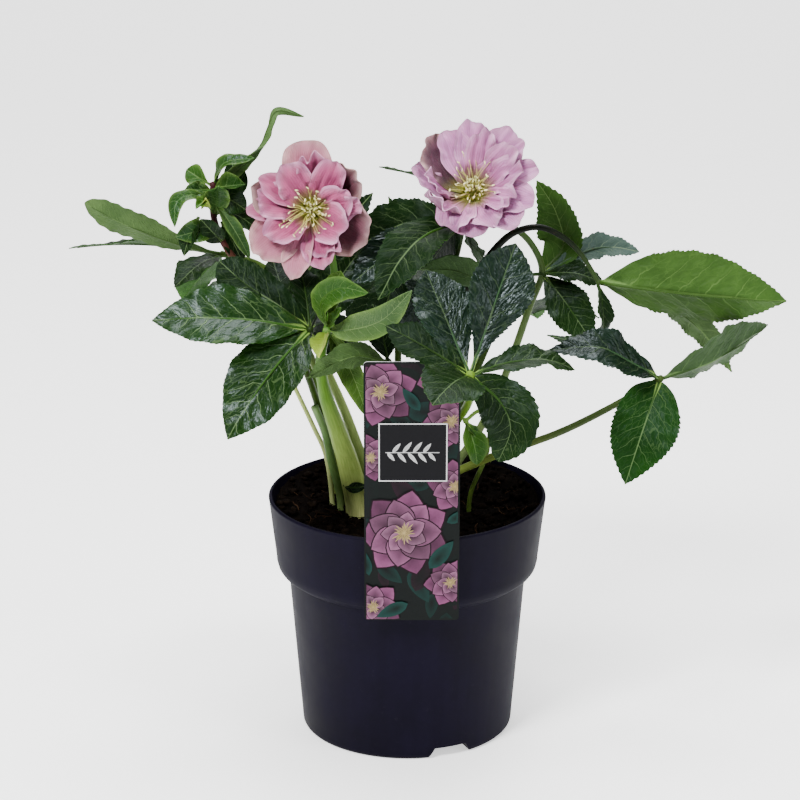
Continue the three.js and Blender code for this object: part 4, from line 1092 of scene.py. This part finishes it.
def make_stamens(index, bloom, seat, lean, inner, spread):
    """The stamens, which lean to one side, with the carpels in their middle and the nectaries round them."""
    at, draw, body = seat[0], random.Random(700 + index), Body()
    middle = [at(0, 0, CLEAR + DISC_DEPTH * share) for share in (0, 0.5, 1)]
    tube(body, middle, [DISC, DISC, DISC * 0.85], CARPEL, sides=20, rings=6)
    for k in range(inner + spread):
        grow_stamen(body, at, k, lean, inner, spread, draw)
    low = DISC_DEPTH * 0.7
    for k in range(3):
        angle = 2 * math.pi * (k + 0.5) / 3
        points = [at(angle, 0.9, low), at(angle, 1.3, DISC_DEPTH + 3.5), at(angle, 1.9, low + 8)]
        tube(body, points, [1.0, 0.8, 0.35], [CARPEL, STYLE, STIGMA], sides=10, rings=10)
    for k in range(12):  # nectaries: small green horns round the stamens' foot
        angle = 2 * math.pi * (k + 0.3 * draw.random()) / 12
        points = [at(angle, DISC, 0.9), at(angle, DISC + 2.2, 1.6), at(angle, DISC + 3.6, 4.4)]
        tube(body, points, [0.5, 0.9, 0.8], [CARPEL, NECTARY], sides=8, rings=6, squash=0.6)
    body.build(f"{bloom}_stamens_fine", [STAMEN], f"{bloom}_stamens", "stamen")


# ---------------- the pieces

make_pot()
make_soil()
make_label()

# A leaf: its number, name, the petiole's radii and points, its leaflets, and sometimes the petiole's tones.
grow_leaf(0, "leaf_right_low", [2.6, 1.5], [
    [4, 4, 107], [7, 0, 132], [26, -10, 147], [49, -18, 160], [80, -27, 175], [106, -31, 190],
    [132, -34, 207],
], [
    big([113, -58, 157], [-0.1, -0.9, 0.4], 35, "net", widest=0.42, bow=4, fold=0.08),
    big([73, -45, 226], [0.1, -0.6, 0.8], 23, "blue", via=[[117, -42, 218], [101, -46, 227]]),
    big([192, 5, 225], [-0.3, 0.8, 0.5], 29, "pale under", fold=0.3, bow=-4),
    mid([74, -8, 223], [0, -0.3, 0.9], 11, "dark", via=[[101, -20, 218]]),
], "8a9450 62702f 2c3a18 2c3c14")
# leaf_right_large's petiole tones: the near-black middle ones are painted shadow cast by a bloom; the petiole
# is paler on either side.
grow_leaf(1, "leaf_right_large", [2.6, 2, 1.2], [
    [4, 16, 107], [6, 17, 132], [13, 20, 176], [22, 16, 219], [31, 8, 243], [42, 2, 262], [55, -3, 277],
    [69, -5, 281], [82, -4, 275], [91, -2, 266], [101, 0, 250],
], [
    big([198, -20, 245], [0, 0.95, 0.25], 42, "lime under", fold=0.45, bow=-3, widest=0.5),
    big([177, 30, 191], [0.3, 0.8, 0.4], 18, "sage under", via=[[132, 12, 237], [158, 26, 217]]),
    mid([103, -8, 220], [0.7, -0.5, 0.2], 14, "dark", bow=2),
], "62703a 2c3a16 101806 060b03 060b03 060b03 0c1606 2c3e1c")
grow_leaf(2, "leaf_front", [2.6, 2], [
    [4, -8, 107], [7, -10, 132], [19, -42, 176], [31, -74, 207], [31, -96, 228],
], [
    big([54, -70, 289], [0.1, -0.95, 0.25], 32, "blue", widest=0.67),
    big([9, -66, 274], [0.3, -0.9, 0.3], 30, "blue", widest=0.63),
    mid([-11, -80, 249], [0.1, -0.8, 0.6], 21, "deep", bow=3),
    big([84, -80, 226], [0, -0.35, 0.93], 20, "dark", bow=8),
    big([12, -138, 226], [0.1, -0.5, 0.85], 32, "dark", bow=4),
    big([45, -112, 188], [0.1, -0.85, 0.5], 29, "dark", via=[[46, -102, 216], [51, -108, 204]], widest=0.5,
        taper=0.7),
], "76863f 2c4010 3c5414 5c7a24")
grow_leaf(3, "leaf_centre", [2.4, 1.7], [
    [-10, 14, 107], [-9, 14, 134], [10, 8, 192], [19, 5, 238], [26, 0, 266], [29, -13, 285],
], [
    big([-15, -60, 257], [-0.2, -0.7, 0.7], 28, "grass", via=[[12, -26, 284], [-2, -44, 276]]),
    big([-29, -36, 259], [0, -0.75, 0.65], 24, "blue", via=[[-4, -24, 275]]),
    big([-39, 17, 256], [0, -0.6, 0.8], 33, "deep", via=[[-4, 2, 280]]),
    mid([40, 26, 250], [0.2, -0.5, 0.85], 15, "dark", via=[[33, 8, 270]]),
    mid([14, 14, 259], [0.3, -0.7, 0.6], 19, "deep", bow=2),
    mid([-15, 62, 298], [0.2, 0.3, 0.9], 12, "dark", via=[[20, 25, 295], [4, 45, 298]], teeth=False),
])
grow_leaf(4, "leaf_left", [2.3, 1.7], [
    [-28, 13, 107], [-29, 13, 126], [-37, 6, 148], [-44, -4, 171], [-50, -20, 197], [-54, -36, 219],
    [-50, -49, 238],
], [
    big([-130, -60, 246], [0, -0.7, 0.7], 34, "green", bow=7),
    big([-91, -86, 191], [-0.3, -0.85, 0.4], 38, "green", bow=8, widest=0.5),
    mid([-97, -30, 269], [0.1, -0.85, 0.5], 24, "deep", via=[[-65, -46, 249], [-83, -38, 259]], widest=0.65,
        taper=0.6),
    mid([-71, -14, 268], [0.3, -0.8, 0.5], 22, "dark", via=[[-66, -42, 249], [-66, -30, 256]]),
    mid([-57, -22, 267], [0.4, -0.9, 0.2], 16, "deep", bow=3),
    mid([-27, 6, 263], [0.1, -0.95, 0.3], 24, "dark", via=[[-45, -28, 244], [-38, -10, 251]]),
    mid([-22, 2, 222], [0.2, -0.9, 0.4], 24, "deep", via=[[-44, -22, 228]], bow=3),
], tooth=SMALL_TEETH)
grow_leaf(5, "leaf_upper_left", [3.2, 1.5], [
    [-20, 20, 107], [-21, 20, 130], [-32, 18, 167], [-43, 16, 195], [-57, 14, 229], [-77, 12, 255],
    [-98, 8, 263],
], [
    mid([-169, 0, 293], [-0.2, 0.85, 0.45], 18, "sage under", widest=0.7, taper=0.6, bow=-6, teeth=False),
    mid([-183, 40, 258], [0, 0.2, 1], 12, "dark", bow=4, teeth=False),
    mid([-121, -25, 254], [0, -0.3, 0.95], 17, "dark", bow=3),
    big([-121, 22, 234], [-0.3, 0.8, 0.5], 26, "olive under", bow=2),
], "6c7c3c 8a9c5c 5c7434 2c4412", tooth=SMALL_TEETH)
grow_leaf(6, "leaf_centre_low", [2, 1.5], [
    [-12, -8, 107], [-13, -9, 130], [-12, -34, 172], [-10, -53, 222],
], [
    mid([-51, -68, 218], [0, 0.85, 0.2], 15, "sage under", via=[[-28, -62, 228]]),
    mid([-18, -44, 250], [0.3, -0.8, 0.3], 20, "deep", bow=3),
], tooth=SMALL_TEETH)
grow_leaf(7, "leaf_back_centre", [2.4, 1.7], [
    [-6, 30, 107], [-6, 31, 134], [-5, 50, 190], [-6, 72, 238],
], [
    mid([-10, 50, 284], [0.7, -0.6, 0.2], 10, "sage under", bow=3),
    mid([-31, 66, 202], [-0.1, -0.9, 0.4], 26, "deep", bow=4),
    mid([-38, 128, 234], [-0.2, 0.3, 0.9], 30, "dark", bow=8),
    mid([12, 140, 222], [0, 0.4, 0.9], 30, "dark", bow=8),
    mid([12, 64, 200], [0.1, -0.9, 0.4], 26, "blue", bow=4),
    mid([-17, 34, 204], [0, -0.9, 0.4], 22, "deep", via=[[-10, 58, 226]], bow=3),
    mid([22, 44, 240], [0.1, -0.7, 0.7], 20, "dark", bow=3),
])
grow_leaf(8, "leaf_back_left", [2.4, 1.7], [
    [-38, 27, 107], [-39, 32, 134], [-52, 44, 186], [-68, 60, 222],
], [
    mid([-120, 58, 226], [-0.2, 0.1, 1], 26, "dark", bow=6),
    mid([-108, 104, 212], [-0.2, 0.3, 0.9], 28, "green", bow=8),
    mid([-66, 126, 206], [0, 0.4, 0.9], 30, "dark", bow=8),
    mid([-19, 80, 279], [0, -0.7, 0.6], 20, "deep", bow=2),
])
grow_leaf(9, "leaf_back_right", [2.4, 1.7], [
    [12, 28, 107], [13, 29, 132], [36, 54, 178], [50, 74, 205],
], [
    mid([76, 132, 192], [0.1, 0.4, 0.9], 28, "green", bow=8),
    mid([28, 132, 196], [-0.2, 0.4, 0.9], 26, "dark", bow=8),
    mid([108, 84, 206], [0.2, 0.1, 0.9], 26, "dark", bow=8),
    mid([32, 84, 225], [0, -0.8, 0.5], 17, "dark", bow=2),
])

LEFT = bloom_seat([-49, -24, 295], [-0.1, -0.95, 0.28])
RIGHT = bloom_seat([34, -9, 299], [-0.03, -0.62, 0.78])

# A stem: its number, name, radii, tones and points, its bracts with their node, and its bloom's seat.
grow_stem(0, "flower_stem_left", [6.5, 6.6, 4.8, 3.1, 2.6, 2.2, 2, 1.9, 1.8],
          "c4c084 96aa58 527626 3f651d 3c6420 46682a 587836", [
    [-27, 0, 107], [-27, 0, 125], [-31, -4, 147], [-37, -18, 173], [-43, -28, 196], [-45, -38, 213],
    [-44, -48, 228], [-41, -54, 239], [-38, -42, 251], [-38, -26, 261], [-41, -15, 275],
], [
    small([-20, -76, 265], [0, -0.9, 0.4], 14, "bright", via=[[-44, -64, 257], [-34, -71, 266]]),
    small([-34, -60, 272], [-0.3, -0.9, 0.2], 12, "olive", bow=2, widest=0.75),
    small([2, -79, 267], [-0.2, -0.7, 0.6], 15, "light", via=[[-29, -63, 242], [-13, -73, 250]], wave=1.8,
        twist=50),
    small([-45, -75, 231], [-0.4, -0.8, 0.5], 9, "pale", cup=0.8),
    small([-34, -68, 255], [-0.7, -0.5, 0.2], 6, "bright"),
    small([-20, -58, 193], [-0.2, -0.9, 0.3], 13, "olive", via=[[-31, -52, 221]]),
    small([-22, -5.6, 137.5], [0.05, -1, 0.2], 6, "dark", start=[-35.6, -4.6, 138], via=[[-28.8, -9.8, 138]],
        fold=0, wave=0),
], [-41, -54, 239], LEFT)
grow_stem(1, "flower_stem_right", [2.4, 1.9, 1.4], "6b7a48 4c5e34 33481f 2a3c1c", [
    [22, 20, 107], [23, 21, 132], [40, 31, 158], [53, 34, 186], [67, 37, 227], [73, 36, 246], [66, 29, 264],
    [52, 16, 278],
], [
    mid([70, 50, 293], [-0.3, -0.9, 0.2], 25, "moss", via=[[85, 50, 257], [81, 52, 275]], widest=0.45,
        fold=0.4),
    mid([106, 30, 241], [0, -0.6, 0.8], 14, "dark", bow=4),
    mid([126, 44, 255], [0, -0.5, 0.85], 17, "slate", via=[[104, 46, 257]]),
    big([99, 16, 212], [0.2, -0.9, 0.4], 24, "dark", bow=4),
    mid([8, -10, 260], [0.1, 0.9, 0.3], 19, "meadow", via=[[50, 6, 251], [38, -5, 253], [24, -9, 259]],
        widest=0.7, teeth=False),
], [73, 36, 245], RIGHT)
grow_stem(2, "flower_stem_young", [2.4, 1.6], "7d8f4a 5d7a38 4a5a2c 41301f 3c1a1c 35151a", [
    [-33, 21, 107], [-33, 21, 127], [-38, 14, 160], [-46, 6, 192], [-57, -2, 220], [-76, -6, 246],
    [-89, -8, 262], [-97, -8, 275], [-101, -10, 288], [-101, -10, 306],
], [
    small([-115, -6, 312], [-0.2, -0.9, 0.4], 11, "bright", start=[-101, -10, 304], widest=0.7),
    small([-79, -18, 321], [-0.1, -0.6, 0.8], 8, "fresh", start=[-101, -10, 305], via=[[-95, -14, 317]]),
    small([-54, 4, 338], [0, -0.9, 0.3], 7, "grey", start=[-101, -10, 304],
        via=[[-88, -5, 312], [-76, 0, 323], [-72, 0, 333], [-68, 2, 341]], twist=200, rows=60, widest=0.4,
        taper=0.6),
    small([-92, 4, 315], [-0.1, -0.8, 0.5], 13, "dark", start=[-101, -10, 299], via=[[-90, -3, 301]],
        widest=0.65),
    small([-84, -22, 308], [-0.4, -0.6, 0.6], 10, "fresh", start=[-101, -10, 303], cup=0.7),
    small([-97, -27, 308], [0.1, -0.8, 0.5], 14, "fresh", start=[-100, -10, 287], bow=-3),
    small([-120, -28, 287], [0, -0.9, 0.3], 8, "fresh", start=[-101, -10, 294],
        via=[[-112, -20, 302], [-119, -25, 299]], twist=40),
    small([-120, -22, 280], [0, -0.9, 0.3], 12, "fresh", start=[-99, -9, 282], bow=3),
    small([-82, -20, 268], [0.3, -0.8, 0.4], 8, "grey", start=[-101, -10, 297], bow=3),
    small([-75, -6, 276], [0.2, -0.7, 0.7], 12, "dark", start=[-101, -10, 294], bow=4),
    small([-115, -17, 304], [-0.2, -0.9, 0.4], 9, "fresh", start=[-101, -10, 302]),
    small([-107, -20, 289], [-0.1, -0.9, 0.3], 11, "dark", start=[-96, -8, 273], bow=2),
    small([-104, -24, 301], [-0.1, -0.8, 0.5], 5, "pale", start=[-103, -16, 294], cup=0.9),
    small([-116, -22, 270], [-0.4, -0.8, 0.3], 9, "dark", start=[-108, -14, 290], bow=2),
    small([-84, -12, 292], [0.1, -0.9, 0.3], 13, "dark", start=[-98, -8, 300], bow=2),
    small([-87, -4, 262], [0.2, -0.9, 0.3], 11, "deep", start=[-98, -4, 285], bow=3),
    small([-109, -25, 296], [-0.2, -0.8, 0.5], 6, "bright", start=[-102, -14, 300], cup=0.5),
], [-101, -10, 297])
grow_stem(3, "cut_petiole", [2.4, 2.1], "93a062 5f7a44 4f6a3c 6f8a58", [
    [-36, 8, 107], [-36, 7, 125], [-41, -2, 151], [-44, -13, 171], [-49, -20, 187],
])
grow_stem(4, "pale_petiole", [1.5, 1.1], "c3c88c b1bd78 9fb060", [
    [-41, 13, 107], [-41, 12, 124], [-44, 4, 152], [-50, -4, 170], [-57, -14, 190], [-62, -26, 206],
], [
    small([-75, -32, 211], [0, -0.7, 0.7], 7, "olive"),
], [-62, -26, 206])
grow_stem(5, "young_leaf_right", [1.3, 1], "3c4a1c 55702c", [
    [34, -2, 107], [34, -3, 131], [43, -5, 157], [43, -8, 176], [38, -12, 182], [31, -16, 178],
], [
    small([37, -24, 156], [0.5, -0.8, 0.2], 15, "bright", bow=2),
    small([38, -20, 170], [0.4, -0.8, 0.3], 5, "fresh"),
], [31, -16, 178])

make_petals(0, "bloom_left", LEFT, PETAL_PINK, [
    [97, 18, 34, 27, 2, 8, "p"], [42, 24, 31, 24, -3, 10, "m"], [-26, 14, 32, 29, -2, 10, "m", 0.75],
    [-103, 16, 36, 17, 2, 12, "p", 0.8], [-140, 17, 36, 26, -2, 10, "p"], [-177, 18, 32, 12, 2, 8, "o"],
    [162, 20, 31, 24, -2, 12, "m"], [-75, 22, 31, 18, 2, 10, "o"], [126, 33, 27, 20, 3, 12, "i"],
    [84, 32, 30, 20, -3, 10, "i"], [61, 30, 29, 18, 2, 12, "o"], [22, 36, 25, 18, 3, 25, "i"],
    [6, 26, 26, 15, 3, 30, "i"], [-31, 36, 25, 21, 3, 10, "i"], [-66, 32, 27, 20, -3, 12, "i"],
    [-139, 32, 27, 20, 3, 10, "i"], [171, 30, 29, 19, 3, 12, "i"], [149, 30, 31, 16, 3, 12, "o", 0.6],
])
make_stamens(0, "bloom_left", LEFT, lean=-130, inner=24, spread=40)
make_petals(1, "bloom_right", RIGHT, PETAL_LILAC, [
    [92, 32, 37, 20, 2, 8, "o"], [57, 31, 37, 21, 2, 10, "o"], [38, 32, 36, 14, 2, 10, "o", 0.5],
    [16, 24, 35, 16, 2, 12, "o", 0.6], [-19, 17, 33, 20, 2, 10, "o", 0.6], [-43, 8, 31, 20, 3, 10, "o", 0.5],
    [-88, -4, 23, 22, 4, 6, "o"], [167, 25, 33, 21, -2, 12, "o"], [137, 31, 36, 26, -3, 10, "m"],
    [119, 36, 35, 19, 2, 10, "o"], [177, 40, 26, 16, -4, 10, "i"], [-62, 12, 24, 19, 4, 8, "i"],
    [-31, 32, 27, 16, 2, 12, "i"], [12, 36, 29, 18, 3, 10, "i"], [36, 42, 31, 17, 3, 12, "i"],
    [78, 44, 33, 16, 3, 10, "i"], [-150, 30, 27, 21, -5, 20, "i"], [-116, 4, 24, 20, 4, 10, "i"],
])
make_stamens(1, "bloom_right", RIGHT, lean=90, inner=44, spread=32)

# ---------------- floor, light and camera

FLOOR = 200 / MM  # half its width; its end is past the horizon of every view
corners = [[-FLOOR, -FLOOR, 0], [FLOOR, -FLOOR, 0], [FLOOR, FLOOR, 0], [-FLOOR, FLOOR, 0]]
floor = new_object("floor", corners, [[0, 1, 2, 3]])
link(floor)
paint, white = Shader("floor_white"), (1, 1, 1)
matte = {"Base_Color": (0.9,) * 3, "Roughness": 0.9, "Specular_IOR_Level": 0.1}
floor.data.materials.append(paint.surface(**matte, Emission_Color=white, Emission_Strength=0.9))

world = bpy.data.worlds.new("sky")
bpy.context.scene.world = world
world.use_nodes = True
sky = world.node_tree.nodes["Background"].inputs
sky["Color"].default_value, sky["Strength"].default_value = (*white, 1), 0.15


def aim(item, place, direction):
    item.location = place
    item.rotation_euler = direction.to_track_quat("-Z", "Y").to_euler()
    link(item)


def softbox(name, place, target, size, power):
    lamp = bpy.data.lights.new(name, "AREA")
    lamp.energy, lamp.size, lamp.shape = power, size, "SQUARE"
    aim(bpy.data.objects.new(name, lamp), place, Vector(target) - Vector(place))


PLANT = (0, 0, 0.2)
softbox("key", (-0.7, -1.1, 1.4), PLANT, 0.45, 60)
softbox("fill", (1.3, -0.9, 0.9), PLANT, 0.7, 14)
softbox("top", (0.1, 0.1, 1.9), PLANT, 0.9, 54)
softbox("floor_far", (0, 3.2, 2.6), (0, 3.2, 0), 3, 160)

CAMERA = {"lens": 126, "sensor": 36, "distance": 1.5, "elevation": 17.7, "target": (-0.0039, 0.0, 0.1844)}
lens = bpy.data.cameras.new("camera")
lens.lens, lens.sensor_width = CAMERA["lens"], CAMERA["sensor"]
camera = bpy.data.objects.new("camera", lens)
tilt = math.radians(CAMERA["elevation"])
back = Vector((0, -math.cos(tilt), math.sin(tilt)))
aim(camera, Vector(CAMERA["target"]) + back * CAMERA["distance"], -back)
bpy.context.scene.camera = camera
